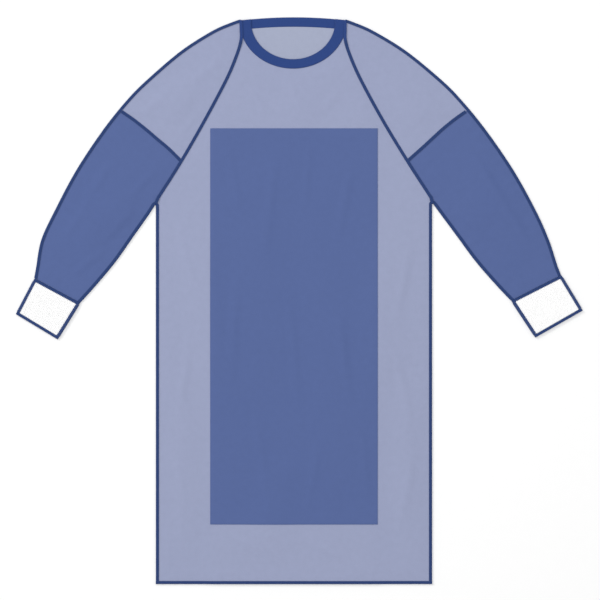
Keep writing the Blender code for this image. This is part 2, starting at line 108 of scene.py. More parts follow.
# Fineness of the outlines
CURVE_STEP = 8.0
SAME_POINT = 0.25
LONGEST_MITRE = 2.0
OVERSHOOT = 20.0
SHARP_ANGLE = 40.0
EDGE_CLEAR = 0.55
NECK_POINTS = 72
ARC_SEGMENTS = 8
BEVEL_SEGMENTS = 3
BEVEL_ANGLE = 60.0
# Rounding of the free edges: reinforcement, neckband in front, and its back strips
BONDED_BEVEL = 0.45
BAND_BEVEL = 0.8
STRIP_BEVEL = 0.4

# Seam lines: how far down they are, and how far out on each side
COLUMNS = ("down", "left", "right")
OVERARM = (
    (8, 118.5, 114),
    (15, 139, 134),
    (34, 182, 177),
    (78, 251, 249),
    (141, 325, 326),
    (186, 370, 371),
    (253, 424, 426),
    (343, 484, 488),
    (433, 532, 538),
    (500, 563, 568),
    (562, 574.5, 588.5),
    (590, 579.6, 601.4),
)
RAGLAN = (
    (6, 119, 114.5),
    (30, 118, 114.5),
    (52, 118.5, 115),
    (87, 129, 126),
    (141, 152, 150),
    (231, 200, 199),
    (325, 254, 256),
    (404, 304, 307),
    (418, 310, 310),
)
UNDERARM = (
    (404, 306, 306),
    (437, 326, 330),
    (491, 364, 370),
    (545, 402, 410),
    (599, 447, 457),
    (640, 484, 496),
)
SLEEVE_JOINT = (
    (209, 389, 388),
    (229, 360, 359.5),
    (251, 332, 332.5),
    (274, 305, 307.5),
    (296, 279, 283.5),
    (323, 252, 253),
)

# Ends of the cuffs, outer and inner corner: how far down, and how far out
CUFF_START = {"left": ((589.5, 579.5), (641, 484)), "right": ((582, 597.5), (636, 491.5))}
CUFF_END = {"left": ((663.5, 618.5), (717, 530.5)), "right": ((655.5, 642), (713, 542))}

# Folds and creases, from one end to the other
FOLD_COLUMNS = ("across_0", "down_0", "across_1", "down_1", "half_width", "height")
FOLDS = (
    (-235, 420, -150, 900, 75, 3.4),
    (-262, 760, -232, 1230, 60, 3.0),
    (-95, 330, -60, 860, 95, 2.6),
    (70, 520, 110, 1150, 90, 3.0),
    (228, 440, 160, 980, 75, 3.6),
    (250, 800, 262, 1230, 60, 2.8),
    (-20, 980, -70, 1240, 80, 3.0),
    (-40, 165, 60, 235, 60, 2.0),
    (-180, 110, -330, 260, 75, 3.4),
    (-345, 300, -520, 560, 80, 4.0),
    (-300, 400, -430, 470, 60, 2.6),
    (178, 112, 330, 262, 75, 3.4),
    (350, 300, 530, 550, 80, 4.0),
    (310, 395, 440, 475, 60, 2.6),
)
CREASES = (
    (-150, 285, -118, 452, 13, 0.9),
    (-42, 300, -66, 548, 16, 1.1),
    (38, 262, 22, 430, 12, 0.7),
    (132, 318, 92, 520, 15, 1.0),
    (-128, 560, -142, 830, 17, 1.2),
    (-12, 600, 12, 905, 14, 0.9),
    (96, 640, 128, 884, 16, 1.2),
    (-88, 880, -52, 1108, 13, 0.8),
    (58, 930, 30, 1120, 15, 1.0),
    (150, 900, 164, 1090, 12, 0.8),
    (-262, 470, -214, 640, 15, 1.1),
    (-232, 700, -258, 905, 14, 1.0),
    (-276, 930, -238, 1120, 13, 0.9),
    (262, 500, 226, 690, 15, 1.1),
    (226, 742, 266, 925, 14, 1.0),
    (272, 960, 232, 1160, 13, 0.9),
    (-160, 1150, -60, 1205, 14, 0.9),
    (10, 1160, 130, 1225, 15, 0.9),
    (-104, 158, -62, 212, 12, 0.8),
    (104, 160, 58, 216, 12, 0.8),
    (-16, 136, 14, 206, 12, 0.7),
    (-156, 84, -232, 150, 13, 1.0),
    (-176, 178, -258, 268, 14, 1.0),
    (-262, 142, -352, 232, 15, 1.1),
    (156, 86, 236, 150, 13, 1.0),
    (180, 176, 262, 262, 14, 1.0),
    (260, 140, 354, 236, 15, 1.1),
    (-300, 330, -372, 408, 13, 1.0),
    (-404, 318, -468, 414, 15, 1.2),
    (-352, 420, -436, 512, 14, 1.1),
    (-452, 400, -530, 520, 13, 0.9),
    (-424, 520, -500, 580, 14, 1.1),
    (300, 336, 378, 404, 13, 1.0),
    (402, 312, 474, 420, 15, 1.2),
    (356, 424, 446, 508, 14, 1.1),
    (460, 404, 540, 526, 13, 0.9),
    (436, 520, 520, 588, 14, 1.1),
)
NECK_CREASES = (
    (-58, 40, 34, 66, 12, 1.1),
    (-24, 70, 62, 58, 10, 0.8),
)

SIDES = {"left": -1, "right": 1}
SLEEVE_LEAN = math.atan2(575 - 121, 588 - 7)


# Curves

def point(across, down):
    return Vector((across, -down))


def side_points(table, side):
    """The rows of a seam table as points on one side of the gown."""
    column = COLUMNS.index(side)
    return [point(SIDES[side] * row[column], row[0]) for row in table]


def smooth_curve(points):
    """A smooth curve through the points."""
    ends = [points[0] * 2 - points[1]] + list(points) + [points[-1] * 2 - points[-2]]
    curve = []
    for before, start, end, after in zip(ends, ends[1:], ends[2:], ends[3:]):
        count = max(1, round((end - start).length / CURVE_STEP))
        for number in range(count):
            t = number / count
            curve.append(
                0.5 * (2 * start + (end - before) * t
                       + (2 * before - 5 * start + 4 * end - after) * t ** 2
                       + (3 * start - before - 3 * end + after) * t ** 3))
    curve.append(points[-1])
    return curve


def normals(curve):
    """The direction to the left of the curve at each point."""
    result = []
    for number in range(len(curve)):
        ahead = curve[min(number + 1, len(curve) - 1)] - curve[number]
        behind = curve[number] - curve[max(number - 1, 0)]
        along = ahead.normalized() + behind.normalized()
        along.normalize()
        result.append(Vector((-along.y, along.x)))
    return result


def offset(curve, distance):
    """The curve moved to its left, with its corners mitred."""
    moved = []
    for number, normal in enumerate(normals(curve)):
        stretch = 1.0
        if 0 < number < len(curve) - 1:
            along = (curve[number + 1] - curve[number]).normalized()
            lean = Vector((-along.y, along.x)).dot(normal)
            stretch = 1 / max(1 / LONGEST_MITRE, lean)
        moved.append(curve[number] + normal * distance * stretch)
    return moved


def extended(curve):
    """The curve run on straight at both ends."""
    start = curve[0] + (curve[0] - curve[1]).normalized() * OVERSHOOT
    end = curve[-1] + (curve[-1] - curve[-2]).normalized() * OVERSHOOT
    return [start] + list(curve) + [end]


def crossing(first, second):
    """Where two curves cross: the segment on each, and the point."""
    for number in reversed(range(len(first) - 1)):
        for other in range(len(second) - 1):
            found = intersect_line_line_2d(
                first[number], first[number + 1], second[other], second[other + 1])
            if found:
                return number, other, found
    raise ValueError("two edges of a piece do not meet")


def clean(curve, closed=False):
    """The curve without points that nearly coincide."""
    kept = [curve[0]]
    for place in curve[1:]:
        if (place - kept[-1]).length > SAME_POINT:
            kept.append(place)
    if closed and (kept[0] - kept[-1]).length < SAME_POINT:
        kept.pop()
    return kept


def outline(*edges):
    """The closed outline whose edges are cut where each crosses the next."""
    edges = [extended(edge) for edge in edges]
    for number in range(len(edges)):
        following = (number + 1) % len(edges)
        first, second = edges[number], edges[following]
        cut, other, corner = crossing(first, second)
        edges[number] = first[:cut + 1] + [corner]
        edges[following] = [corner] + second[other + 1:]
    ring = clean([place for edge in edges for place in edge[:-1]], closed=True)
    area = sum(a.cross(b) for a, b in zip(ring, ring[1:] + ring[:1]))
    if area < 0:
        ring.reverse()
    return ring


def clipped(curve, start, end):
    """The curve without its first and last millimetres."""
    for length in (end, start):
        curve = list(reversed(curve))
        while (curve[1] - curve[0]).length <= length:
            length -= (curve[1] - curve[0]).length
            curve.pop(0)
        curve[0] = curve[0] + (curve[1] - curve[0]).normalized() * length
    return curve


def ended(curve, border):
    """The curve cut off, or run on, where it meets the line that it ends at."""
    curve = extended(curve)
    cut, _, place = crossing(curve, extended(border))
    return curve[1:cut + 1] + [place]


def straight(start, end, step=CURVE_STEP):
    count = max(1, round((end - start).length / step))
    return [start.lerp(end, number / count) for number in range(count + 1)]


def level_line(start, end, down):
    """A straight line over the gown at one height, from one place across to another."""
    return straight(point(start, down), point(end, down))


def filleted(first, second, radius):
    """Two curves joined where they cross, by an arc."""
    cut, other, corner = crossing(extended(first), extended(second))
    first = extended(first)[1:cut + 1]
    second = extended(second)[other + 1:-1]
    back = (first[-1] - corner).normalized()
    on = (second[0] - corner).normalized()
    half_angle = back.angle(on) / 2
    reach = radius / math.tan(half_angle)
    middle = corner + (back + on).normalized() * radius / math.sin(half_angle)
    start = corner + back * reach - middle
    turn = start.angle_signed(corner + on * reach - middle)
    arc = []
    for number in range(ARC_SEGMENTS + 1):
        angle = -turn * number / ARC_SEGMENTS
        arc.append(middle + Vector((
            start.x * math.cos(angle) - start.y * math.sin(angle),
            start.x * math.sin(angle) + start.y * math.cos(angle))))
    clear = reach + SAME_POINT
    first = [place for place in first if (place - corner).length > clear]
    second = [place for place in second if (place - corner).length > clear]
    return clean(first + arc + second)


def neck_curve(ellipse, gap=0.0):
    """The lower half of an ellipse round the neck, from left to right."""
    across, deep = ellipse["across"] + gap, ellipse["deep"] + gap
    curve = []
    for number in range(NECK_POINTS + 1):
        angle = math.pi * number / NECK_POINTS
        curve.append(point(NECK_SHIFT - across * math.cos(angle),
                           ellipse["centre"] + deep * math.sin(angle)))
    return curve


def band_edge(down):
    """A line across the back of the neck, bowed up in the middle."""
    half = BAND_OUTER["across"] + BAND_RUN_OUT
    return [point(place.x, down + BAND_DROP * (place.x / BAND_OUTER["across"]) ** 2)
            for place in level_line(-half, half, 0)]


@lru_cache(maxsize=None)
def seam_lines():
    """Every seam and edge line of the gown, by name, and by side where it has two."""
    lines = {"top": band_edge(0.0), "band_foot": band_edge(BAND_WIDTH)}
    for side, sign in SIDES.items():
        out = sign * HALF_TAPE
        raglan = side_points(RAGLAN, side)
        lines["raglan", side] = smooth_curve(raglan[:-1]) + straight(*raglan[-2:])[1:]
        lines["joint", side] = smooth_curve(side_points(SLEEVE_JOINT, side))
        overarm = smooth_curve(side_points(OVERARM, side))
        lines["overarm", side] = offset(overarm, out)
        underarm = offset(smooth_curve(side_points(UNDERARM, side)), -out)
        side_edge = straight(point(sign * (BODY_HALF_WIDTH + HALF_TAPE), LENGTH),
                             point(sign * (BODY_HALF_WIDTH + HALF_TAPE), UNDERARM[0][0]))
        lines["side", side] = filleted(side_edge, underarm, ARMPIT_RADIUS)
        for name, table in (("cuff_start", CUFF_START), ("cuff_end", CUFF_END)):
            lines[name, side] = [point(sign * across, down) for down, across in table[side]]
        for name in ("overarm", "side"):
            lines[name, side] = clean(ended(lines[name, side], lines["cuff_start", side]))
    return lines


def taped_seams(side):
    """The seams of one sleeve that a tape covers, as long as their tapes."""
    lines = seam_lines()
    clear = HALF_TAPE + GAP
    return {
        "raglan": clipped(lines["raglan", side], END_GAP, END_GAP),
        "sleeve_joint": clipped(lines["joint", side], clear, clear),
    }


def bound_edges(side):
    """The edges of one side that a binding folds over: over the arm, and hem to cuff."""
    lines = seam_lines()
    return (clipped(lines["overarm", side], END_GAP, END_CUT),
            clipped(lines["side", side], TAPE_WIDTH + GAP, END_CUT))


def cloth_edges(side):
    """Where a side's cloth ends inside its bindings: over the arm, and hem to cuff."""
    lines = seam_lines()
    inset = SIDES[side] * EDGE_INSET
    return offset(lines["overarm", side], -inset), offset(lines["side", side], inset)


def front_raglans():
    """The raglan edges of the body's front, which meet the sleeves' edges in the seams."""
    lines = seam_lines()
    return [offset(lines["raglan", side], sign * -GAP / 2) for side, sign in SIDES.items()]


def cuff_border(side):
    """The line just before the cuff's seam ring, where the bindings end."""
    return offset(seam_lines()["cuff_start", side], -SIDES[side] * (HALF_TAPE + GAP))


@lru_cache(maxsize=None)
def sewn_seams():
    """The seams that the folds run out before, as arrays."""
    lines = seam_lines()
    seams = [lines[name, side] for side in SIDES
             for name in ("raglan", "joint", "overarm", "side", "cuff_start")]
    seams.append(neck_curve(BAND_OUTER))
    seams.append([point(-BODY_HALF_WIDTH, LENGTH), point(BODY_HALF_WIDTH, LENGTH)])
    return [as_array(seam) for seam in seams]


# Heights, for many places at once

def as_array(places):
    return np.array([(place.x, place.y) for place in places], float)


def ramp(value, start, end):
    t = np.clip((value - start) / (end - start), 0.0, 1.0)
    return t * t * (3 - 2 * t)


def nearest_on(curve, places):
    """How far each place is from a curve, and how far along it the nearest point is."""
    nearest = np.full(len(places), np.inf)
    run = np.zeros(len(places))
    travelled = 0.0
    for start, end in zip(curve, curve[1:]):
        along = end - start
        length = math.hypot(*along)
        t = np.clip((places - start) @ along / length ** 2, 0.0, 1.0)
        apart = places - start - t[:, None] * along
        distance = np.hypot(apart[:, 0], apart[:, 1])
        closer = distance < nearest
        nearest[closer] = distance[closer]
        run[closer] = travelled + t[closer] * length
        travelled += length
    return nearest, run


def folds_at(table, places):
    """The folds of a table added up, each a low ridge that fades at its ends."""
    total = np.zeros(len(places))
    for row in table:
        fold = dict(zip(FOLD_COLUMNS, row))
        start = np.array((fold["across_0"], -fold["down_0"]), float)
        along = np.array((fold["across_1"], -fold["down_1"]), float) - start
        t = (places - start) @ along / (along @ along)
        apart = places - start - t[:, None] * along
        aside = np.hypot(apart[:, 0], apart[:, 1]) / fold["half_width"]
        on = (t > 0) & (t < 1) & (aside < 1)
        rise = np.sin(math.pi * t) * np.cos(aside * math.pi / 2) ** 2
        total[on] += fold["height"] * rise[on]
    return total


def soft_unevenness(places, size, seed):
    """Slow swells over the cloth, from 0 to about 1."""
    values = [noise.noise(Vector((x / size, y / size, seed))) for x, y in places]
    return np.clip(0.5 + np.array(values), 0.0, 1.0)


def floor_level(places):
    return np.zeros(len(places))


def inner_level(places):
    """The inner back panel lies on the outer one, then steps down to the floor."""
    return LAYER * (1 - ramp(places[:, 0], STEP_STARTS, STEP_ENDS))


def front_level(places):
    """The front lies on both back panels in the middle, and on one further out."""
    return LAYER * (2 - ramp(np.abs(places[:, 0]), FRONT_STEP_STARTS, FRONT_STEP_ENDS))


FOLDS_START = 9.0
FOLDS_FULL = 63.0
CREASES_FULL = 30.0
PUCKER_STARTS = 4.5
PUCKER_PEAK = 13.0
PUCKER_ENDS = 46.0
PUCKER_WAVES = (31.0, 19.0, 173.0)
SWELL_SIZE = 85.0
BACK_SHARE = 0.4


def puckers(distance, run):
    """Short ripples beside a seam, where its thread draws the cloth in."""
    first, second, slow = (2 * math.pi * run / wave for wave in PUCKER_WAVES)
    ripple = (0.5 + 0.5 * np.sin(first + 0.8 * np.sin(slow))) * (0.6 + 0.4 * np.sin(second))
    rise = ramp(distance, PUCKER_STARTS, PUCKER_PEAK)
    return ripple * rise * (1 - ramp(distance, PUCKER_PEAK, PUCKER_ENDS))


def front_height(places):
    """The underside of the front cloth: its level, and its folds, creases and puckers."""
    sizes = bpy.context.scene.gown_sizes
    nearest = np.full(len(places), np.inf)
    run = np.zeros(len(places))
    for seam in sewn_seams():
        distance, travelled = nearest_on(seam, places)
        closer = distance < nearest
        nearest[closer] = distance[closer]
        run[closer] = travelled[closer]
    broad = folds_at(FOLDS, places) * ramp(nearest, FOLDS_START, FOLDS_FULL)
    creases = folds_at(CREASES, places) * sizes.crease_rise
    swell = soft_unevenness(places, SWELL_SIZE, 3.0) * sizes.swell_rise / MM
    fine = (creases + swell) * ramp(nearest, FOLDS_START, CREASES_FULL)
    pucker = puckers(nearest, run) * sizes.pucker_rise / MM
    return front_level(places) + broad + fine + pucker


def back_height(level, neck=False):
    """The underside of a back piece: its level, and part of the folds that run through it."""
    def height(places):
        nearest = np.full(len(places), np.inf)
        for seam in sewn_seams():
            nearest = np.minimum(nearest, nearest_on(seam, places)[0])
        fade = ramp(nearest, FOLDS_START, FOLDS_FULL)
        total = level(places) + BACK_SHARE * fade * folds_at(FOLDS, places)
        if neck:
            total += folds_at(NECK_CREASES, places)
        return total
    return height


# Nets and surfaces

def inside(ring, places):
    odd = np.zeros(len(places), bool)
    for start, end in zip(ring, np.roll(ring, -1, axis=0)):
        spans = (start[1] > places[:, 1]) != (end[1] > places[:, 1])
        if spans.any():
            reach = start[0] + (places[:, 1] - start[1]) * (end[0] - start[0]) / (end[1] - start[1])
            odd ^= spans & (places[:, 0] < reach)
    return odd


def rectangle(half_width, top, bottom):
    corners = [point(-half_width, bottom), point(half_width, bottom),
               point(half_width, top), point(-half_width, top)]
    ring = []
    for start, end in zip(corners, corners[1:] + corners[:1]):
        ring += straight(start, end)[:-1]
    return ring


def triangulate(ring, step, patches=()):
    """A net of triangles that fills a ring, with the outlines of patches as edges in it."""
    places = list(ring)
    edges = []
    for patch in patches:
        first = len(places)
        places += patch
        edges += [(first + number, first + (number + 1) % len(patch))
                  for number in range(len(patch))]
    borders = [as_array(loop + loop[:1]) for loop in (ring, *patches)]
    row_height = step * math.sqrt(3) / 2
    low, high = borders[0].min(axis=0), borders[0].max(axis=0)
    grid = [Vector((low[0] + (column - 0.5 * (row % 2)) * step, low[1] + row * row_height))
            for row in range(int((high[1] - low[1]) / row_height) + 1)
            for column in range(int((high[0] - low[0]) / step) + 2)]
    spread = as_array(grid)
    near = np.min([nearest_on(border, spread)[0] for border in borders], axis=0)
    kept = inside(borders[0][:-1], spread) & (near > EDGE_CLEAR * step)
    places += [place for place, stays in zip(grid, kept) if stays]
    points, _, faces, *_ = delaunay_2d_cdt(
        places, edges, [list(range(len(ring)))], 1, 0.001)
    return points, faces


@lru_cache(maxsize=None)
def gown_origin():
    """Where the top of the neckband is on the centre line, in the frame, in metres."""
    low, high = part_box("hem_binding_front")
    return Vector(((low.x + high.x) / 2, low.y + LENGTH * MM, 0.0))


def add_object(name, data):
    thing = bpy.data.objects.new(name, data)
    bpy.context.scene.collection.objects.link(thing)
    return thing


def add_mesh(name, points, edges=(), faces=()):
    """A mesh object on the gown, from points in millimetres."""
    origin = gown_origin()
    mesh = bpy.data.meshes.new(name)
    mesh.from_pydata([Vector(place) * MM + origin for place in points], edges, faces)
    return add_object(name, mesh)


def add_surface(name, points, faces, coordinates, material):
    """A surface from points in millimetres, with its pattern coordinates in metres."""
    thing = add_mesh(name, points, faces=faces)
    thing.data.materials.append(material)
    layer = thing.data.uv_layers.new(name="Grain")
    for loop in thing.data.loops:
        layer.data[loop.index].uv = coordinates[loop.vertex_index]
    return thing


def settle(thing):
    """Make what the modifiers give the object's own mesh."""
    graph = bpy.context.evaluated_depsgraph_get()
    mesh = bpy.data.meshes.new_from_object(thing.evaluated_get(graph), depsgraph=graph)
    old = thing.data
    thing.modifiers.clear()
    thing.data = mesh
    bpy.data.meshes.remove(old)
    mesh.name = thing.name
    return mesh


def add_wall(thing, wall, toward, bevel=0.0):
    """Give a surface its thickness, and round the edges of it."""
    solid = thing.modifiers.new("Wall", "SOLIDIFY")
    solid.thickness = wall * MM
    solid.offset = toward
    solid.use_even_offset = True
    if bevel:
        edge = thing.modifiers.new("Edge", "BEVEL")
        edge.width = bevel * MM
        edge.segments = BEVEL_SEGMENTS
        edge.limit_method = "ANGLE"
        edge.angle_limit = math.radians(BEVEL_ANGLE)
    mesh = settle(thing)
    mesh.shade_smooth()
    mesh.set_sharp_from_angle(angle=math.radians(SHARP_ANGLE))
    return thing


def along_grain(places, lean):
    """Places turned so that the cloth's grain runs up, in metres."""
    across = places[:, 0] * math.cos(lean) - places[:, 1] * math.sin(lean)
    up = places[:, 0] * math.sin(lean) + places[:, 1] * math.cos(lean)
    return np.stack((across, up), axis=1) * MM


def add_cloth(name, net, height, material, wall=CLOTH, lift=0.0, lean=0.0, bevel=0.0):
    """A cloth piece: a net raised to a height, with its wall above it."""
    places, faces = net
    spread = as_array(places)
    heights = height(spread) + lift
    points = [(x, y, z) for (x, y), z in zip(spread, heights)]
    upward = []
    for face in faces:
        a, b, c = (places[number] for number in face[:3])
        upward.append(face if (b - a).cross(c - a) > 0 else face[::-1])
    thing = add_surface(name, points, upward, along_grain(spread, lean), material)
    return add_wall(thing, wall, 1.0, bevel)


def add_ribbon(name, rails, material, wall=CLOTH, closed=False, flip=False):
    """A strip through the rails, whose wall goes in from its outer face."""
    count = len(rails[0])
    rails = list(rails) + (rails[:1] if closed else [])
    cloth = np.array([[tuple(place) for place in rail] for rail in rails], float)
    run = np.zeros(cloth.shape[:2])
    run[:, 1:] = np.cumsum(np.linalg.norm(np.diff(cloth, axis=1), axis=2), axis=1)
    across = np.zeros(cloth.shape[:2])
    across[1:] = np.cumsum(np.linalg.norm(np.diff(cloth, axis=0), axis=2), axis=0)
    coordinates = np.stack((across, run), axis=2).reshape(-1, 2) * MM
    faces = []
    for row in range(len(rails) - 1):
        low, high = row * count, (row + 1) * count
        for number in range(count - 1):
            face = (low + number, low + number + 1, high + number + 1, high + number)
            faces.append(face[::-1] if flip else face)
    thing = add_surface(name, cloth.reshape(-1, 3), faces, coordinates, material)
    if closed:
        weld = thing.modifiers.new("Close", "WELD")
        weld.merge_threshold = 0.00001
    return add_wall(thing, wall, -1.0)


def finish_start(thing, finish, length):
    """Give the first stretch of a ribbon another finish."""
    thing.data.materials.append(finish)
    grain = thing.data.uv_layers["Grain"].data
    for face in thing.data.polygons:
        if max(grain[loop].uv.y for loop in face.loop_indices) < length * MM:
            face.material_index = 1


def raised(curve, height, lift=0.0):
    places = as_array(curve)
    return [Vector((x, y, z)) for (x, y), z in zip(places, height(places) + lift)]


# Sewing, by Geometry Nodes

def node(tree, kind, values=(), **settings):
    """A new node: its settings, then numbers or other nodes' sockets on its inputs."""
    made_node = tree.nodes.new(kind)
    for key, value in settings.items():
        setattr(made_node, key, value)
    for key, value in dict(values).items():
        if isinstance(value, bpy.types.NodeSocket):
            tree.links.new(value, made_node.inputs[key])
        else:
            made_node.inputs[key].default_value = value
    return made_node


def math_node(tree, operation, *values):
    """What a Math node gives for sockets or numbers."""
    return node(tree, "ShaderNodeMath", enumerate(values), operation=operation).outputs[0]


def new_tree(name, sizes):
    """A Geometry Nodes tree, with its sizes and its material as named inputs."""
    tree = bpy.data.node_groups.new(name, "GeometryNodeTree")
    tree.is_modifier = True
    tree.interface.new_socket("Geometry", in_out="INPUT", socket_type="NodeSocketGeometry")
    for label, size in sizes.items():
        socket = tree.interface.new_socket(label, in_out="INPUT", socket_type="NodeSocketFloat")
        socket.default_value = size
    tree.interface.new_socket("Material", in_out="INPUT", socket_type="NodeSocketMaterial")
    tree.interface.new_socket("Geometry", in_out="OUTPUT", socket_type="NodeSocketGeometry")
    return tree, tree.nodes.new("NodeGroupInput").outputs


# Seed of the small turns that each stitch has of its own
WOBBLE_SEED = 7


def set_along(tree, given, element, wobble, scale=(1.0, 1.0, 1.0)):
    """End a tree: its element set evenly along the lines, made real and in the material."""
    curve = node(tree, "GeometryNodeMeshToCurve", {0: given["Geometry"]})
    spaced = node(tree, "GeometryNodeResampleCurve",
                  {0: curve.outputs[0], "Length": given["Pitch"]}, mode="LENGTH")
    tangent = node(tree, "GeometryNodeInputTangent")
    turn = node(tree, "FunctionNodeAlignRotationToVector", {"Vector": tangent.outputs[0]},
                axis="X", pivot_axis="Z")
    most = Vector((wobble / 3, wobble / 3, wobble))
    chance = node(tree, "FunctionNodeRandomValue",
                  {"Min": -most, "Max": most, "Seed": WOBBLE_SEED}, data_type="FLOAT_VECTOR")
    turned = node(tree, "FunctionNodeRotateRotation",
                  {0: turn.outputs[0], 1: chance.outputs["Value"]}, rotation_space="LOCAL")
    placed = node(tree, "GeometryNodeInstanceOnPoints", {
        0: spaced.outputs[0], "Instance": element.outputs[0], "Rotation": turned.outputs[0],
        "Scale": scale})
    realize = node(tree, "GeometryNodeRealizeInstances", {0: placed.outputs[0]})
    smooth = node(tree, "GeometryNodeSetShadeSmooth", {0: realize.outputs[0]})
    paint = node(tree, "GeometryNodeSetMaterial",
                 {0: smooth.outputs[0], "Material": given["Material"]})
    node(tree, "NodeGroupOutput", {0: paint.outputs[0]})
    return tree


def rounded_thread(tree, given, length, width):
    """A short length of thread with round ends, and its size."""
    bead = node(tree, "GeometryNodeMeshUVSphere", {"Segments": 6, "Rings": 4, "Radius": 0.5})
    size = node(tree, "ShaderNodeCombineXYZ",
                {"X": given[length], "Y": given[width], "Z": given[width]})
    return bead, size.outputs[0]


@lru_cache(maxsize=None)
def topstitch_tree():
    """Single stitches, one after the other along a line."""
    tree, given = new_tree("Topstitch", {
        "Pitch": 0.003, "Stitch length": 0.0025, "Thread width": 0.0005})
    stitch, size = rounded_thread(tree, given, "Stitch length", "Thread width")
    return set_along(tree, given, stitch, wobble=0.05, scale=size)


# A loop of overlock: shares of its pitch along, of its reach in, and of its edge's height
LOOP_CORNERS = (
    ("Start", -0.7, 1.0, 1.04),
    ("Middle", 0.2, -0.23, 1.7),
    ("End", 0.7, -0.02, -0.6),
)
# How far the knit's loops lean
LOOP_LEAN = 0.42


@lru_cache(maxsize=None)
def overlock_tree():
    """Loops of thread thrown over an edge, one beside the other."""
    tree, given = new_tree("Overlock", {
        "Pitch": 0.0012, "Reach": 0.0065, "Edge height": 0.0022, "Thread width": 0.0009})

    def scaled(name, factor):
        return math_node(tree, "MULTIPLY", given[name], factor)

    corners = {}
    for name, along, aside, up in LOOP_CORNERS:
        place = node(tree, "ShaderNodeCombineXYZ", {
            "X": scaled("Pitch", along), "Y": scaled("Reach", aside),
            "Z": scaled("Edge height", up)})
        corners[name] = place.outputs[0]
    loop = node(tree, "GeometryNodeCurveQuadraticBezier", {"Resolution": 9, **corners})
    section = node(tree, "GeometryNodeCurvePrimitiveCircle",
                   {"Resolution": 5, "Radius": scaled("Thread width", 0.5)}, mode="RADIUS")
    thread = node(tree, "GeometryNodeCurveToMesh", {
        "Curve": loop.outputs[0], "Profile Curve": section.outputs[0], "Fill Caps": True})
    return set_along(tree, given, thread, wobble=0.06)


@lru_cache(maxsize=None)
def knit_tree():
    """Knit stitches down a rib: two leaning loops of yarn, side by side, for each."""
    tree, given = new_tree("Knit stitches", {
        "Pitch": 0.0022, "Stitch length": 0.0028, "Yarn width": 0.0011})
    yarn, size = rounded_thread(tree, given, "Stitch length", "Yarn width")
    both = node(tree, "GeometryNodeJoinGeometry")
    for side in SIDES.values():
        aside = node(tree, "ShaderNodeVectorMath",
                     {0: (0.0, 0.5 * side, 0.0), "Scale": given["Yarn width"]},
                     operation="SCALE")
        lean = node(tree, "GeometryNodeTransform", {
            "Geometry": yarn.outputs[0], "Translation": aside.outputs[0],
            "Rotation": (0.0, 0.0, LOOP_LEAN * side), "Scale": size})
        tree.links.new(lean.outputs[0], both.inputs[0])
    return set_along(tree, given, both, wobble=0.04)


def sew(name, lines, tree, slot, **inputs):
    """Sewing along lines, which are points in millimetres, as one mesh on the gown."""
    points = [place for line in lines for place in line]
    edges = []
    first = 0
    for line in lines:
        edges += [(first + number, first + number + 1) for number in range(len(line) - 1)]
        first += len(line)
    thing = add_mesh(name, points, edges)
    modifier = thing.modifiers.new("Sewing", "NODES")
    modifier.node_group = tree
    for socket in tree.interface.items_tree:
        if socket.in_out == "INPUT" and socket.name in inputs:
            modifier[socket.identifier] = inputs[socket.name]
    settle(thing)
    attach(thing, "root")


# Putting a piece with the gown, with its solids hidden

def hand_over(thing, slot, *nodes):
    """The piece stands for its solids, which it hides, and lies with the gown; its slot is not
    used.
    """
    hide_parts(*nodes)
    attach(thing, "root")
    return thing


# Materials

def new_material(name, colour, roughness, sheen=0.0):
    """A material, its tree and its shader."""
    material = bpy.data.materials.new(name)
    material.use_nodes = True
    tree = material.node_tree
    shader = tree.nodes["Principled BSDF"]
    for key, value in (("Base Color", (*colour, 1.0)), ("Roughness", roughness),
                       ("Specular IOR Level", 0.2), ("Sheen Weight", sheen),
                       ("Sheen Roughness", 0.5)):
        shader.inputs[key].default_value = value
    return material, tree, shader


def mixed(tree, *parts):
    """Values added up, each times its share."""
    total = None
    for value, share in parts:
        part = math_node(tree, "MULTIPLY", value, share)
        total = part if total is None else math_node(tree, "ADD", total, part)
    return total


def grain_coordinates(tree, scale=1.0, turn=0.0):
    """The piece's own pattern coordinates, in metres times a scale."""
    source = node(tree, "ShaderNodeUVMap", uv_map="Grain")
    return node(tree, "ShaderNodeMapping", {
        "Vector": source.outputs["UV"], "Scale": (scale, scale, scale),
        "Rotation": (0.0, 0.0, turn)}).outputs["Vector"]


def noise_value(tree, vector, size, detail=2.0, roughness=0.5):
    """Noise from 0 to 1, with features of a size in millimetres."""
    return node(tree, "ShaderNodeTexNoise", {
        "Vector": vector, "Scale": 1 / (size * MM), "Detail": detail,
        "Roughness": roughness}).outputs["Fac"]


def tint(tree, shader, colour, amount, darker, lighter):
    """Let a value from 0 to 1 run the colour from a darker to a lighter shade."""
    dark, light = ((*(min(1.0, channel * factor) for channel in colour), 1.0)
                   for factor in (darker, lighter))
    blend = node(tree, "ShaderNodeMix", {"Factor": amount, "A": dark, "B": light},
                 data_type="RGBA")
    tree.links.new(blend.outputs["Result"], shader.inputs["Base Color"])


def relief(tree, shader, *heights):
    """Stack bumps: each a value from 0 to 1 and its depth in millimetres."""
    below = {}
    for value, depth in heights:
        bump = node(tree, "ShaderNodeBump", {
            "Strength": 1.0, "Distance": depth * MM, "Height": value, **below})
        below = {"Normal": bump.outputs["Normal"]}
    tree.links.new(below["Normal"], shader.inputs["Normal"])


# Sizes of the finishes' patterns
BOND_PITCH = 1.7
BOND_INNER = 0.16
BOND_OUTER = 0.34
FIBRE_LENGTH = 2.6
CLOUD_SIZE = 14.0
TWILL_PITCH = 0.9
TWILL_YARN = 1.2
# What one band of the wave texture measures at the scale that it has here
WAVE_BAND = 0.628
STITCH_WIDE = 1.5
STITCH_TALL = 1.9
LOOP_SLANT = 1.1
FLUFF_SIZE = 0.6
TOOTH_SIZE = 25.0


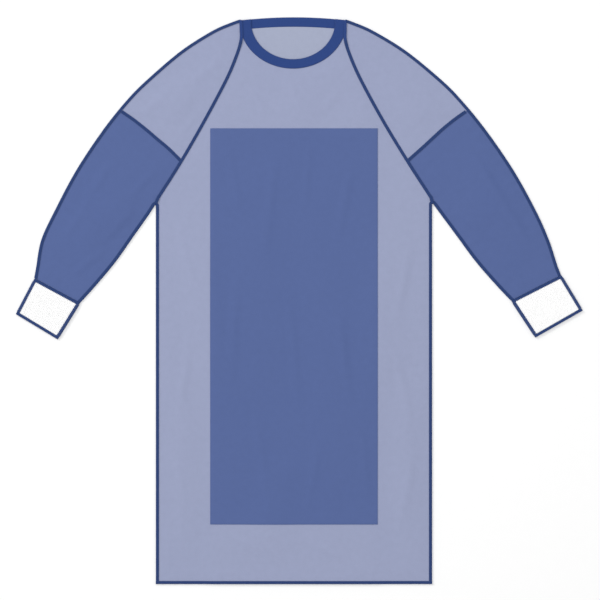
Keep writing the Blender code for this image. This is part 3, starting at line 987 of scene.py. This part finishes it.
def nonwoven(name, colour, roughness, bond_depth, sheen):
    """Bonded fibres: cloudy, with a lattice of pressed bond points."""
    material, tree, shader = new_material(name, colour, roughness, sheen)
    lattice = node(tree, "ShaderNodeTexVoronoi", {
        "Vector": grain_coordinates(tree, 1 / (BOND_PITCH * MM), math.pi / 4),
        "Scale": 1.0, "Randomness": 0.0}, voronoi_dimensions="2D")
    dots = node(tree, "ShaderNodeMapRange", {
        "Value": lattice.outputs["Distance"], "From Min": BOND_INNER,
        "From Max": BOND_OUTER}, interpolation_type="SMOOTHSTEP").outputs["Result"]
    grain = grain_coordinates(tree)
    fibres = noise_value(tree, grain, FIBRE_LENGTH, detail=6.0, roughness=0.7)
    clouds = noise_value(tree, grain, CLOUD_SIZE, detail=3.0)
    shade = mixed(tree, (fibres, 0.4), (clouds, 0.35), (dots, 0.25))
    tint(tree, shader, colour, shade, darker=0.86, lighter=1.09)
    relief(tree, shader, (clouds, 0.12), (fibres, 0.10), (dots, bond_depth))
    return material


def woven_tape(name, colour, roughness):
    """Twill tape: fine slanting ridges along the tape."""
    material, tree, shader = new_material(name, colour, roughness, sheen=0.1)
    slanting = grain_coordinates(tree, 1 / (TWILL_PITCH * MM) * WAVE_BAND, math.pi / 5)
    twill = node(tree, "ShaderNodeTexWave", {
        "Vector": slanting, "Scale": 0.5, "Distortion": 0.6, "Detail Scale": 2.0},
        wave_type="BANDS", bands_direction="X").outputs["Fac"]
    yarn = noise_value(tree, grain_coordinates(tree), TWILL_YARN, detail=3.0)
    shade = mixed(tree, (twill, 0.6), (yarn, 0.4))
    tint(tree, shader, colour, shade, darker=0.78, lighter=1.22)
    relief(tree, shader, (yarn, 0.06), (twill, 0.09))
    return material


def rib_knit(name, colour, roughness):
    """Knit: rows of V-shaped loops along each rib."""
    material, tree, shader = new_material(name, colour, roughness, sheen=0.3)
    split = node(tree, "ShaderNodeSeparateXYZ", {"Vector": grain_coordinates(tree)}).outputs
    wale = math_node(tree, "FRACT", math_node(tree, "DIVIDE", split["X"], STITCH_WIDE * MM))
    arm = math_node(tree, "ABSOLUTE", math_node(tree, "SUBTRACT", wale, 0.5))
    course = math_node(tree, "DIVIDE", split["Y"], STITCH_TALL * MM)
    slanted = math_node(tree, "ADD", course, math_node(tree, "MULTIPLY", arm, LOOP_SLANT))
    loop = math_node(tree, "SINE", math_node(tree, "MULTIPLY", slanted, 2 * math.pi))
    loop = math_node(tree, "ADD", math_node(tree, "MULTIPLY", loop, 0.5), 0.5)
    tint(tree, shader, colour, loop, darker=0.97, lighter=1.0)
    relief(tree, shader, (arm, 0.15), (loop, 0.12))
    return material


def spun_thread(name, colour, roughness, darker, lighter):
    """Sewing thread: a fine even lustre with a little fluff."""
    material, tree, shader = new_material(name, colour, roughness, sheen=0.2)
    place = node(tree, "ShaderNodeTexCoord").outputs["Object"]
    fluff = noise_value(tree, place, FLUFF_SIZE)
    tint(tree, shader, colour, fluff, darker, lighter)
    relief(tree, shader, (fluff, 0.05))
    return material


def plain_floor(name, colour):
    """A pale, even studio floor with a very slight tooth."""
    material, tree, shader = new_material(name, colour, roughness=0.9)
    place = node(tree, "ShaderNodeTexCoord").outputs["Object"]
    tooth = noise_value(tree, place, TOOTH_SIZE)
    tint(tree, shader, colour, tooth, darker=0.995, lighter=1.005)
    return material


# How a finish is made, with its options, and which of the gown's colours it has
FINISHES = {
    "body": (nonwoven, "Body cloth", "body",
             {"roughness": 0.85, "bond_depth": 0.10, "sheen": 0.12}),
    "inside": (nonwoven, "Body cloth inside", "inside",
               {"roughness": 0.88, "bond_depth": 0.08, "sheen": 0.12}),
    "reinforced": (nonwoven, "Reinforced cloth", "reinforced",
                   {"roughness": 0.62, "bond_depth": 0.05, "sheen": 0.05}),
    "tape": (woven_tape, "Navy tape", "tape", {"roughness": 0.8}),
    "band": (woven_tape, "Neckband twill", "band", {"roughness": 0.8}),
    "knit": (rib_knit, "White rib knit", "knit", {"roughness": 0.95}),
    "thread": (spun_thread, "Navy thread", "thread",
               {"roughness": 0.6, "darker": 0.85, "lighter": 1.2}),
    "yarn": (spun_thread, "White yarn", "knit",
             {"roughness": 0.9, "darker": 0.98, "lighter": 1.02}),
    "floor": (plain_floor, "Pale floor", "floor", {}),
}


@lru_cache(maxsize=None)
def finish_for(key):
    """The gown's materials, each made once."""
    make, name, colour, options = FINISHES[key]
    return make(name, getattr(bpy.context.scene.gown_colours, colour), **options)


# Pieces

def make_back_panels():
    """Two plain panels that overlap at the centre back, and their hems."""
    lines = seam_lines()
    step = bpy.context.scene.gown_sizes.back_step / MM
    clear = HALF_TAPE + GAP
    foot = band_edge(BAND_WIDTH + GAP)
    hem_down = LENGTH - TAPE_WIDTH - GAP
    for name, side, level in (("outer", "left", floor_level), ("inner", "right", inner_level)):
        sign = SIDES[side]
        raglan = offset(lines["raglan", side], -sign * clear)
        _, edge = cloth_edges(side)
        free = straight(point(-sign * FREE_EDGE, hem_down), point(-sign * FREE_EDGE, BAND_WIDTH))
        hem = level_line(sign * BODY_HALF_WIDTH, -sign * FREE_EDGE, hem_down)
        ring = outline(raglan, edge[::-1], hem, free, foot if sign > 0 else foot[::-1])
        panel = add_cloth("back_cloth_" + name, triangulate(ring, step),
                          back_height(level, neck=name == "inner"), finish_for("inside"))
        hand_over(panel, "body_cloth", "back_panel_" + name)
        strip = outline(
            level_line(sign * BODY_HALF_WIDTH, -sign * FREE_EDGE, LENGTH), free,
            level_line(-sign * FREE_EDGE, sign * BODY_HALF_WIDTH, LENGTH - TAPE_WIDTH),
            lines["side", side][::-1])
        tape = add_cloth("back_hem_tape_" + name, triangulate(strip, CURVE_STEP), level,
                         finish_for("tape"))
        hand_over(tape, "navy_binding", "hem_binding_back_" + name)


def make_front():
    """The front panel, and the reinforcement bonded on it."""
    step = bpy.context.scene.gown_sizes.cloth_step / MM
    left, right = front_raglans()
    hem = level_line(-BODY_HALF_WIDTH, BODY_HALF_WIDTH, LENGTH - EDGE_INSET)
    ring = outline(left, cloth_edges("left")[1][::-1], hem, cloth_edges("right")[1],
                   right[::-1], neck_curve(BAND_OUTER, GAP)[::-1])
    panel = rectangle(PANEL_HALF_WIDTH, PANEL_TOP, PANEL_BOTTOM)
    net = triangulate(ring, step, patches=(panel,))
    front = add_cloth("front_cloth", net, front_height, finish_for("body"))
    hand_over(front, "body_cloth", "front_panel")
    points, faces = net
    middles = as_array([sum((points[number] for number in face), Vector((0, 0))) / len(face)
                        for face in faces])
    over = [face for face, on in zip(faces, inside(as_array(panel), middles)) if on]
    used = sorted({number for face in over for number in face})
    renumbered = {number: place for place, number in enumerate(used)}
    patch = ([points[number] for number in used],
             [[renumbered[number] for number in face] for face in over])
    bonded = add_cloth("front_reinforcement_cloth", patch, front_height,
                       finish_for("reinforced"), lift=LAYER, bevel=BONDED_BEVEL)
    hand_over(bonded, "reinforced_cloth", "front_reinforcement")


def make_neckband():
    """The folded band round the neck: its front, and its two overlapping back ends."""
    lines = seam_lines()
    inner = neck_curve(BAND_INNER)
    inner = [point(inner[0].x, 0.0)] + inner + [point(inner[-1].x, 0.0)]
    left, right = front_raglans()
    top, foot = lines["top"], lines["band_foot"]
    middle = len(top) // 2
    ring = outline(top[:middle][::-1], left, neck_curve(BAND_OUTER), right[::-1],
                   top[middle + 1:][::-1], inner[::-1])
    band = add_cloth("neckband_front_cloth", triangulate(ring, CURVE_STEP / 2), front_level,
                     finish_for("band"), BAND_CLOTH, bevel=BAND_BEVEL)
    hand_over(band, "navy_binding", "neckband_front")
    for name, side, level in (("outer", "left", floor_level), ("inner", "right", inner_level)):
        sign = SIDES[side]
        edge = offset(lines["raglan", side], -sign * (HALF_TAPE + GAP))
        free = straight(point(-sign * FREE_EDGE, BAND_WIDTH + BAND_DROP),
                        point(-sign * FREE_EDGE, BAND_DROP))
        ring = outline(edge, foot[::-sign], free, top[::sign])
        band = add_cloth("neckband_back_cloth_" + name, triangulate(ring, CURVE_STEP / 2),
                         level, finish_for("band"), bevel=STRIP_BEVEL)
        hand_over(band, "navy_binding", "neckband_back_" + name)


# Of each part of a sleeve: its finish and its slot
SLEEVE_CLOTHS = {"upper": ("body", "body_cloth"), "lower": ("reinforced", "reinforced_cloth")}


def make_sleeves():
    """The upper and lower pieces of each sleeve, in front and behind."""
    lines = seam_lines()
    sizes = bpy.context.scene.gown_sizes
    for side, sign in SIDES.items():
        overarm, edge = cloth_edges(side)
        cuff = cuff_border(side)
        back = back_height(floor_level if side == "left" else inner_level)
        for layer, clear, level, step in (
                ("back", HALF_TAPE + GAP, back, sizes.back_step / MM),
                ("front", GAP / 2, front_height, sizes.cloth_step / MM)):
            raglan = offset(lines["raglan", side], sign * clear)
            above = offset(lines["joint", side], -sign * clear)
            below = offset(lines["joint", side], sign * clear)
            rings = {
                "upper": outline(overarm, above, raglan[::-1]),
                "lower": outline(below[::-1], overarm, cuff, edge[::-1], raglan[::-1]),
            }
            for part, ring in rings.items():
                finish, slot = SLEEVE_CLOTHS[part]
                lean = -sign * SLEEVE_LEAN
                name = "sleeve_{}_{}_{}".format(part, layer, side)
                cloth = add_cloth(name + "_cloth", triangulate(ring, step), level,
                                  finish_for(finish), lean=lean)
                hand_over(cloth, slot, name)


# Across a seam tape: how far from its middle, and how much it is lifted
TAPE_SECTION = ((3.5, -0.15), (3.1, 0.05), (2.2, 0.18), (1.0, 0.24), (0.0, 0.12),
                (-1.0, 0.24), (-2.2, 0.18), (-3.1, 0.05), (-3.5, -0.15))
CLIMB = BAND_CLOTH + GAP - LAYER + GAP
CLIMB_NECK = (49.0, 67.0)
BESIDE_NECK = 46.0
CLIMB_ARMPIT = (13.0, 20.0)


def tape_lift(seam, neck_climb):
    """How far a front tape lies above the cloth's underside, at each point along it."""
    run = np.zeros(len(seam))
    run[1:] = np.cumsum(np.linalg.norm(np.diff(as_array(seam), axis=0), axis=1))
    lift = np.full(len(seam), LAYER + CLOTH)
    if neck_climb:
        lift += CLIMB * (1 - ramp(run, *CLIMB_NECK))
        lift += CLIMB * (1 - ramp(run[-1] - run, *CLIMB_ARMPIT))
    return lift


def make_seam_tapes():
    """Tapes over the raglan seams and the joint of each sleeve, in front and behind."""
    lines = seam_lines()
    navy = finish_for("tape")
    for side, sign in SIDES.items():
        for name, seam in taped_seams(side).items():
            lift = tape_lift(seam, name == "raglan")
            rails = [raised(offset(seam, shift), front_height, lift + rise)
                     for shift, rise in TAPE_SECTION]
            tape = add_ribbon("{}_tape_front_{}_cloth".format(name, side), rails, navy,
                              flip=True)
            if name == "raglan":
                finish_start(tape, finish_for("band"), BESIDE_NECK)
            hand_over(tape, "navy_binding", "{}_tape_front_{}".format(name, side))
        raglan, joint = lines["raglan", side], lines["joint", side]
        overarm, edge = cloth_edges(side)
        half = sign * HALF_TAPE
        strips = {
            "raglan": outline(offset(raglan, -half), edge, offset(raglan, half)[::-1],
                              lines["top"][::-sign]),
            "sleeve_joint": outline(offset(joint, -half), offset(raglan, half + sign * GAP),
                                    offset(joint, half)[::-1], overarm[::-1]),
        }
        for name, strip in strips.items():
            level = inner_level if (name, side) == ("raglan", "right") else floor_level
            tape = add_cloth("{}_tape_back_{}_cloth".format(name, side),
                             triangulate(strip, CURVE_STEP), level, navy)
            hand_over(tape, "navy_binding", "{}_tape_back_{}".format(name, side))


# A folded binding: its round fold, then how far in its lip is and how much it is lifted
FOLD_RADIUS = 1.6
FOLD_SEGMENTS = 4
BINDING_LIP = ((2.6, 0.12), (4.4, 0.18), (6.2, 0.06), (TAPE_WIDTH, -0.15))


def parted(end, neighbour):
    """The end of a tape drawn back by half a gap."""
    return end + (neighbour - end).normalized() * GAP / 2


def folded_binding(name, edge, inward, height, bottom, first=0, last=None, border=None):
    """A tape folded over an edge: a wall outside the cloth, a round fold and a lip."""
    top = LAYER + CLOTH

    def rail_at(reach):
        rail = offset(edge, inward * reach)[first:last]
        if first:
            rail[0] = parted(rail[0], rail[1])
        if last:
            rail[-1] = parted(rail[-1], rail[-2])
        return ended(rail, border) if border else rail

    rails = [raised(rail_at(0.0), bottom)]
    for number in range(FOLD_SEGMENTS + 1):
        angle = math.pi / 2 * number / FOLD_SEGMENTS
        reach = FOLD_RADIUS * (1 - math.cos(angle))
        drop = FOLD_RADIUS * (1 - math.sin(angle))
        rails.append(raised(rail_at(reach), height, top - drop))
    for reach, rise in BINDING_LIP:
        rails.append(raised(rail_at(reach), height, top + rise))
    tape = add_ribbon(name + "_cloth", rails, finish_for("tape"), flip=inward < 0)
    hand_over(tape, "navy_binding", name)


def make_edge_bindings():
    """Tapes folded over the outer edges of the sleeves, the sides and the hem."""
    for side, sign in SIDES.items():
        border = cuff_border(side)
        overarm, edge = bound_edges(side)
        folded_binding("overarm_binding_" + side, overarm, -sign, front_height, floor_level,
                       border=border)
        armpit = max(range(len(edge)), key=lambda number: edge[number].y)
        folded_binding("side_binding_" + side, edge, sign, front_height, floor_level,
                       last=armpit + 1)
        folded_binding("underarm_binding_" + side, edge, sign, front_height, floor_level,
                       first=armpit, border=border)
    half = BODY_HALF_WIDTH + HALF_TAPE
    hem = level_line(-half, half, LENGTH)
    folded_binding("hem_binding_front", hem, 1, front_height, front_level)


def cuff_lines(side):
    """The cuff's two ends, out to its folded sides."""
    lines = seam_lines()
    start, end = lines["cuff_start", side], lines["cuff_end", side]
    along = (end[0] + end[1] - start[0] - start[1]).normalized()
    across = (start[1] - start[0]).normalized() * HALF_TAPE
    start = [start[0] - across, start[1] + across]
    end = [end[0] - across, end[1] + across]
    half = RING_LENGTH / 2
    return ([place + along * (half + GAP) for place in start],
            [place - along * (half + GAP) for place in end])


# Cuffs: points along and round the tubes, and how the rings swell
CUFF_ROWS = 24
POINTS_A_RIB = 8
RING_ROWS = 6
RING_POINTS = 160
RING_CROWN = 0.25
RING_SINK = 0.1


def cuff_ribs(end):
    """How far it is round a cuff at its mouth, and how many ribs fit there."""
    around = (end[1] - end[0]).length * 2
    pitch = bpy.context.scene.gown_sizes.rib_pitch / MM
    return around, 2 * round(around / pitch / 2)


def cuff_row(start, end, share):
    """A row across a cuff: its middle, the direction along it, and its length."""
    near = start[0].lerp(end[0], share)
    far = start[1].lerp(end[1], share)
    return (near + far) / 2, (far - near).normalized(), (far - near).length


def tube_section(width, height, count):
    """Points evenly round a flattened tube, each with the direction that faces out."""
    radius = height / 2
    flat = width - height
    turn = math.pi * radius
    section = []
    for number in range(count):
        run = 2 * (flat + turn) * number / count
        below = run >= flat + turn
        run -= (flat + turn) * below
        along = -1 if below else 1
        if run < flat:
            section.append((along * (run - flat / 2), along * radius, 0.0, along))
        else:
            angle = (run - flat) / radius
            out = (along * math.sin(angle), along * math.cos(angle))
            section.append((along * flat / 2 + radius * out[0], radius * out[1], *out))
    return section


def flat_tube(name, start, end, finish, rows, around, rise):
    """A flattened tube between two lines across it, resting on the floor."""
    rails = [[] for _ in range(around)]
    for row in range(rows + 1):
        share = row / rows
        middle, across, width = cuff_row(start, end, share)
        section = tube_section(width, CUFF_HEIGHT, around)
        for number, (aside, up, out_aside, out_up) in enumerate(section):
            out = rise(number / around, share) if out_up >= 0 else 0.0
            place = middle + across * (aside + out_aside * out)
            height = max(0.0, CUFF_HEIGHT / 2 + up + out_up * out)
            rails[number].append(Vector((place.x, place.y, height)))
    return add_ribbon(name, rails, finish_for(finish), KNIT, closed=True,
                      flip=start[0].x > start[1].x)


def make_cuffs():
    """Rib-knit cuffs, each with a seam ring at the sleeve and an edge ring at its mouth."""
    depth = bpy.context.scene.gown_sizes.rib_depth / MM
    for side in SIDES:
        start, end = cuff_lines(side)
        along = (end[0] + end[1] - start[0] - start[1]).normalized()
        around, ribs = cuff_ribs(end)

        def cut(line, distance):
            return [place + along * distance for place in line]

        def ribbed(turn, share):
            return -depth * (0.5 - 0.5 * math.cos(2 * math.pi * turn * ribs))

        def crowned(turn, share):
            return RING_CROWN * math.sin(math.pi * share) - RING_SINK

        knit = flat_tube("cuff_{}_knit".format(side), start, end, "knit", rows=CUFF_ROWS,
                         around=ribs * POINTS_A_RIB, rise=ribbed)
        hand_over(knit, "white_knit", "cuff_" + side)
        for name, line in (("cuff_seam", cut(start, -GAP - RING_LENGTH)),
                           ("cuff_edge", cut(end, GAP))):
            ring = flat_tube("{}_{}_tape".format(name, side), line,
                             cut(line, RING_LENGTH), "tape", rows=RING_ROWS,
                             around=RING_POINTS, rise=crowned)
            hand_over(ring, "navy_binding", "{}_{}".format(name, side))


# Rows of stitches: how far in from an edge and its ends, and how high on each tape
STITCH_INSET = 1.4
STITCH_START = 2.0
HEM_ROW_START = 1.0
ON_TAPE = 0.23
ON_BINDING = 0.14
ON_BAND = 0.05
# The neckband's outer row ends under the raglan tapes
OUTER_ROW_START = 30.0


def stitch_rows(side):
    """The rows of stitches on one side's tapes and bindings."""
    sign = SIDES[side]
    aside = HALF_TAPE - STITCH_INSET
    rows = []
    for name, seam in taped_seams(side).items():
        lift = tape_lift(seam, name == "raglan") + ON_TAPE
        rows += [raised(offset(seam, shift), front_height, lift) for shift in (aside, -aside)]
    for edge, toward in zip(bound_edges(side), (-sign, sign)):
        row = ended(offset(edge, toward * (TAPE_WIDTH - STITCH_INSET)), cuff_border(side))
        rows.append(raised(row, front_height, LAYER + CLOTH + ON_BINDING))
    return [clipped(row, STITCH_START, STITCH_START) for row in rows]


def make_stitching():
    """Rows of stitches on the tapes, the bindings and the neckband."""
    sizes = bpy.context.scene.gown_sizes
    thread = {"Pitch": sizes.stitch_pitch, "Stitch length": sizes.stitch_length,
              "Thread width": sizes.thread_width, "Material": finish_for("thread")}
    for side in SIDES:
        sew("seam_stitches_" + side, stitch_rows(side), topstitch_tree(), "navy_binding",
            **thread)
    half = BODY_HALF_WIDTH + HALF_TAPE - HEM_ROW_START
    hem = level_line(-half, half, LENGTH)
    rows = [raised(offset(hem, TAPE_WIDTH - STITCH_INSET), front_height,
                   LAYER + CLOTH + ON_BINDING)]
    for ellipse, gap, cut in ((BAND_OUTER, -STITCH_INSET, OUTER_ROW_START),
                              (BAND_INNER, STITCH_INSET, STITCH_START)):
        row = clipped(neck_curve(ellipse, gap), cut, cut)
        rows.append(raised(row, front_level, BAND_CLOTH + ON_BAND))
    sew("band_and_hem_stitches", rows, topstitch_tree(), "navy_binding", **thread)


# The cuffs' sewing: points along it, and which part of a tube counts as its top
KNIT_ROWS = 20
OVERLOCK_STEP = 4.0
FACES_UP = 0.9
LOOP_LENGTH = 1.35


def overlocked_sides(start, end):
    """The two sides of a cuff, each run so that the cuff is on its left."""
    rails = []
    for number in (0, 1):
        rail = straight(start[number], end[number], OVERLOCK_STEP)
        inward = (start[1 - number] - start[number]).normalized()
        if normals(rail)[0].dot(inward) <= 0:
            rail.reverse()
        rails.append([Vector((place.x, place.y, CUFF_HEIGHT / 2)) for place in rail])
    return rails


def stitch_columns(start, end, ribs, clear):
    """Lines along the tops of a cuff's ribs, but for those under its overlocked sides."""
    columns = []
    for number in range(ribs):
        column = []
        for row in range(KNIT_ROWS + 1):
            middle, across, width = cuff_row(start, end, row / KNIT_ROWS)
            reach, up, _, out_up = tube_section(width, CUFF_HEIGHT, ribs)[number]
            if out_up < FACES_UP or abs(reach) > width / 2 - clear:
                break
            place = middle + across * reach
            column.append(Vector((place.x, place.y, CUFF_HEIGHT / 2 + up)))
        if column:
            columns.append(column)
    return columns


def make_cuff_sewing():
    """The knit's stitches, and the overlocked seams down both sides of each cuff."""
    sizes = bpy.context.scene.gown_sizes
    thread = {"Pitch": sizes.overlock_pitch, "Reach": sizes.overlock_reach,
              "Edge height": CUFF_HEIGHT / 2 * MM, "Thread width": sizes.overlock_width,
              "Material": finish_for("thread")}
    yarn = {"Pitch": sizes.course_pitch, "Stitch length": sizes.course_pitch * LOOP_LENGTH,
            "Yarn width": sizes.yarn_width, "Material": finish_for("yarn")}
    for side in SIDES:
        start, end = cuff_lines(side)
        sew("cuff_overlock_" + side, overlocked_sides(start, end), overlock_tree(),
            "navy_binding", **thread)
        _, ribs = cuff_ribs(end)
        columns = stitch_columns(start, end, ribs, sizes.overlock_reach / MM)
        sew("cuff_stitches_" + side, columns, knit_tree(), "white_knit", **yarn)


# Stage

VIEW_WIDTH = 1345.2
VIEW_CENTRE = (13.5, 633.4)
SENSOR = 36.0
FLOOR_HALF = 30.0
FLOOR_HEIGHT = -0.0005
FLOOR_CORNERS = ((-1, -1), (1, -1), (1, 1), (-1, 1))
# Lamps: place in metres, and size
KEY_LIGHT = ((-6.4, 5.2, 5.2), 3.2)
TOP_LIGHT = ((0.0, 0.4, 5.0), 5.0)


def make_stage():
    """A pale floor, soft light from above, and a camera straight overhead."""
    stage = bpy.context.scene.gown_stage
    scene = bpy.context.scene
    mesh = bpy.data.meshes.new("floor")
    mesh.from_pydata([(x * FLOOR_HALF, y * FLOOR_HALF, FLOOR_HEIGHT) for x, y in FLOOR_CORNERS],
                     [], [(0, 1, 2, 3)])
    mesh.materials.append(finish_for("floor"))
    add_object("floor", mesh)

    def area_light(name, place, size, power):
        light = bpy.data.lights.new(name, "AREA")
        light.shape = "DISK"
        light.size = size
        light.energy = power
        lamp = add_object(name, light)
        lamp.location = place
        lamp.rotation_euler = (-Vector(place)).to_track_quat("-Z", "Y").to_euler()

    area_light("key light", *KEY_LIGHT, stage.key_power)
    area_light("top light", *TOP_LIGHT, stage.top_power)
    world = bpy.data.worlds.new("Studio")
    world.use_nodes = True
    background = world.node_tree.nodes["Background"]
    background.inputs["Color"].default_value = (1.0, 1.0, 1.0, 1.0)
    background.inputs["Strength"].default_value = stage.world_strength
    scene.world = world
    camera = bpy.data.cameras.new("camera")
    camera.sensor_width = SENSOR
    camera.lens = SENSOR * stage.camera_height / (VIEW_WIDTH * MM)
    camera.clip_end = 100.0
    origin = gown_origin()
    across, down = VIEW_CENTRE
    scene.camera = add_object("camera", camera)
    scene.camera.location = (origin.x + across * MM, origin.y - down * MM,
                             stage.camera_height)
    scene.view_settings.view_transform = "Standard"
    scene.view_settings.look = "None"


# The add-on

def colour_property(name, description, default):
    return bpy.props.FloatVectorProperty(
        name=name, description=description, default=default, size=3, min=0.0, max=1.0,
        subtype="COLOR")


def number_property(name, description, default, **options):
    return bpy.props.FloatProperty(
        name=name, description=description, default=default, min=0.0, **options)


def length_property(name, description, default):
    return number_property(name, description, default, precision=5, unit="LENGTH")


class GownSizes(bpy.types.PropertyGroup):
    """Sizes of the cloth's fine form and of its stitching."""
    cloth_step: length_property("Cloth step", "Distance between points of the front", 0.007)
    back_step: length_property("Back step", "Distance between points of the back", 0.016)
    crease_rise: number_property("Crease rise", "How strongly the small creases rise", 1.5,
                                 max=2.0)
    swell_rise: length_property("Swell", "Rise of the slow swells in the front", 0.0012)
    pucker_rise: length_property("Pucker", "Rise of the ripples beside seams", 0.0007)
    rib_pitch: length_property("Rib pitch", "Distance between the cuffs' ribs", 0.0034)
    rib_depth: length_property("Rib depth", "Depth between the cuffs' ribs", 0.0007)
    course_pitch: length_property("Course", "Length of one knit stitch", 0.0022)
    yarn_width: length_property("Yarn", "Width of the knit's yarn", 0.0011)
    stitch_pitch: length_property("Stitch pitch", "Distance from stitch to stitch", 0.0032)
    stitch_length: length_property("Stitch length", "Length of one stitch", 0.0027)
    thread_width: length_property("Thread", "Width of the sewing thread", 0.0005)
    overlock_pitch: length_property("Overlock pitch", "Distance between loops", 0.0012)
    overlock_reach: length_property("Overlock reach", "How far in the loops reach", 0.0066)
    overlock_width: length_property("Overlock thread", "Width of the looped thread", 0.0015)


class GownColours(bpy.types.PropertyGroup):
    """Colours of the cloths, the tapes and the floor."""
    body: colour_property("Body", "Light blue body cloth", (0.305, 0.338, 0.495))
    inside: colour_property("Inside", "Body cloth seen from inside", (0.345, 0.378, 0.505))
    reinforced: colour_property("Reinforced", "Darker blue film-backed cloth",
                                (0.080, 0.122, 0.300))
    tape: colour_property("Tape", "Navy binding tape", (0.019, 0.045, 0.155))
    band: colour_property("Neckband", "Navy neckband", (0.020, 0.052, 0.205))
    knit: colour_property("Knit", "White cuff knit", (1.0, 1.0, 1.0))
    thread: colour_property("Thread", "Navy sewing thread", (0.026, 0.057, 0.182))
    floor: colour_property("Floor", "Pale studio floor", (0.95, 0.95, 0.95))


class GownStage(bpy.types.PropertyGroup):
    """The light and the camera."""
    key_power: number_property("Key power", "Power of the low side light", 300.0,
                               unit="POWER")
    top_power: number_property("Top power", "Power of the broad overhead light", 120.0,
                               unit="POWER")
    world_strength: number_property("World", "Strength of the even light all round", 0.54)
    camera_height: length_property("Camera height", "Height of the overhead camera", 4.0)


class GownOperator:
    """What the gown's operators share."""
    bl_options = {"REGISTER", "UNDO"}

    def execute(self, context):
        type(self).make()
        return {"FINISHED"}


class GOWN_OT_back_panels(GownOperator, bpy.types.Operator):
    """Lay the two back panels over each other, with their hems"""
    bl_idname = "gown.back_panels"
    bl_label = "Back panels"
    make = staticmethod(make_back_panels)


class GOWN_OT_front(GownOperator, bpy.types.Operator):
    """Lay the front panel and bond its reinforcement on"""
    bl_idname = "gown.front"
    bl_label = "Front and reinforcement"
    make = staticmethod(make_front)


class GOWN_OT_sleeves(GownOperator, bpy.types.Operator):
    """Lay both sleeves, upper and lower pieces, front and back"""
    bl_idname = "gown.sleeves"
    bl_label = "Sleeves"
    make = staticmethod(make_sleeves)


class GOWN_OT_neckband(GownOperator, bpy.types.Operator):
    """Bind the neck with a folded band"""
    bl_idname = "gown.neckband"
    bl_label = "Neckband"
    make = staticmethod(make_neckband)


class GOWN_OT_seam_tapes(GownOperator, bpy.types.Operator):
    """Tape the raglan seams and the sleeves' joints"""
    bl_idname = "gown.seam_tapes"
    bl_label = "Seam tapes"
    make = staticmethod(make_seam_tapes)


class GOWN_OT_edge_bindings(GownOperator, bpy.types.Operator):
    """Fold tapes over the outer edges"""
    bl_idname = "gown.edge_bindings"
    bl_label = "Edge bindings"
    make = staticmethod(make_edge_bindings)


class GOWN_OT_cuffs(GownOperator, bpy.types.Operator):
    """Knit both cuffs and bind their ends"""
    bl_idname = "gown.cuffs"
    bl_label = "Cuffs"
    make = staticmethod(make_cuffs)


class GOWN_OT_cuff_sewing(GownOperator, bpy.types.Operator):
    """Knit the cuffs' stitches and overlock their sides"""
    bl_idname = "gown.cuff_sewing"
    bl_label = "Cuff sewing"
    make = staticmethod(make_cuff_sewing)


class GOWN_OT_stitching(GownOperator, bpy.types.Operator):
    """Sew rows of stitches on the tapes, bindings and neckband"""
    bl_idname = "gown.stitching"
    bl_label = "Stitching"
    make = staticmethod(make_stitching)


class GOWN_OT_stage(GownOperator, bpy.types.Operator):
    """Set the floor, the lights and the camera"""
    bl_idname = "gown.stage"
    bl_label = "Stage"
    make = staticmethod(make_stage)


OPERATORS = (
    GOWN_OT_back_panels,
    GOWN_OT_front,
    GOWN_OT_sleeves,
    GOWN_OT_neckband,
    GOWN_OT_seam_tapes,
    GOWN_OT_edge_bindings,
    GOWN_OT_cuffs,
    GOWN_OT_cuff_sewing,
    GOWN_OT_stitching,
    GOWN_OT_stage,
)
GROUPS = {"gown_sizes": GownSizes, "gown_colours": GownColours, "gown_stage": GownStage}


class GOWN_PT_panel(bpy.types.Panel):
    """The gown's sizes, colours and steps"""
    bl_idname = "GOWN_PT_panel"
    bl_label = "Surgical gown"
    bl_space_type = "VIEW_3D"
    bl_region_type = "UI"
    bl_category = "Gown"

    def draw(self, context):
        for name, group in GROUPS.items():
            box = self.layout.box()
            for key in group.__annotations__:
                box.prop(getattr(context.scene, name), key)
        for operator in OPERATORS:
            self.layout.operator(operator.bl_idname)


def register():
    for group in GROUPS.values():
        bpy.utils.register_class(group)
    for operator in OPERATORS:
        bpy.utils.register_class(operator)
    bpy.utils.register_class(GOWN_PT_panel)
    for name, group in GROUPS.items():
        setattr(bpy.types.Scene, name, bpy.props.PointerProperty(type=group))


def unregister():
    for name in GROUPS:
        delattr(bpy.types.Scene, name)
    for kind in (GOWN_PT_panel, *reversed(OPERATORS), *reversed(GROUPS.values())):
        bpy.utils.unregister_class(kind)


def main():
    register()
    bpy.ops.gown.back_panels()
    bpy.ops.gown.front()
    bpy.ops.gown.sleeves()
    bpy.ops.gown.neckband()
    bpy.ops.gown.seam_tapes()
    bpy.ops.gown.edge_bindings()
    bpy.ops.gown.cuffs()
    bpy.ops.gown.cuff_sewing()
    bpy.ops.gown.stitching()
    bpy.ops.gown.stage()


if __name__ == "__main__":
    main()
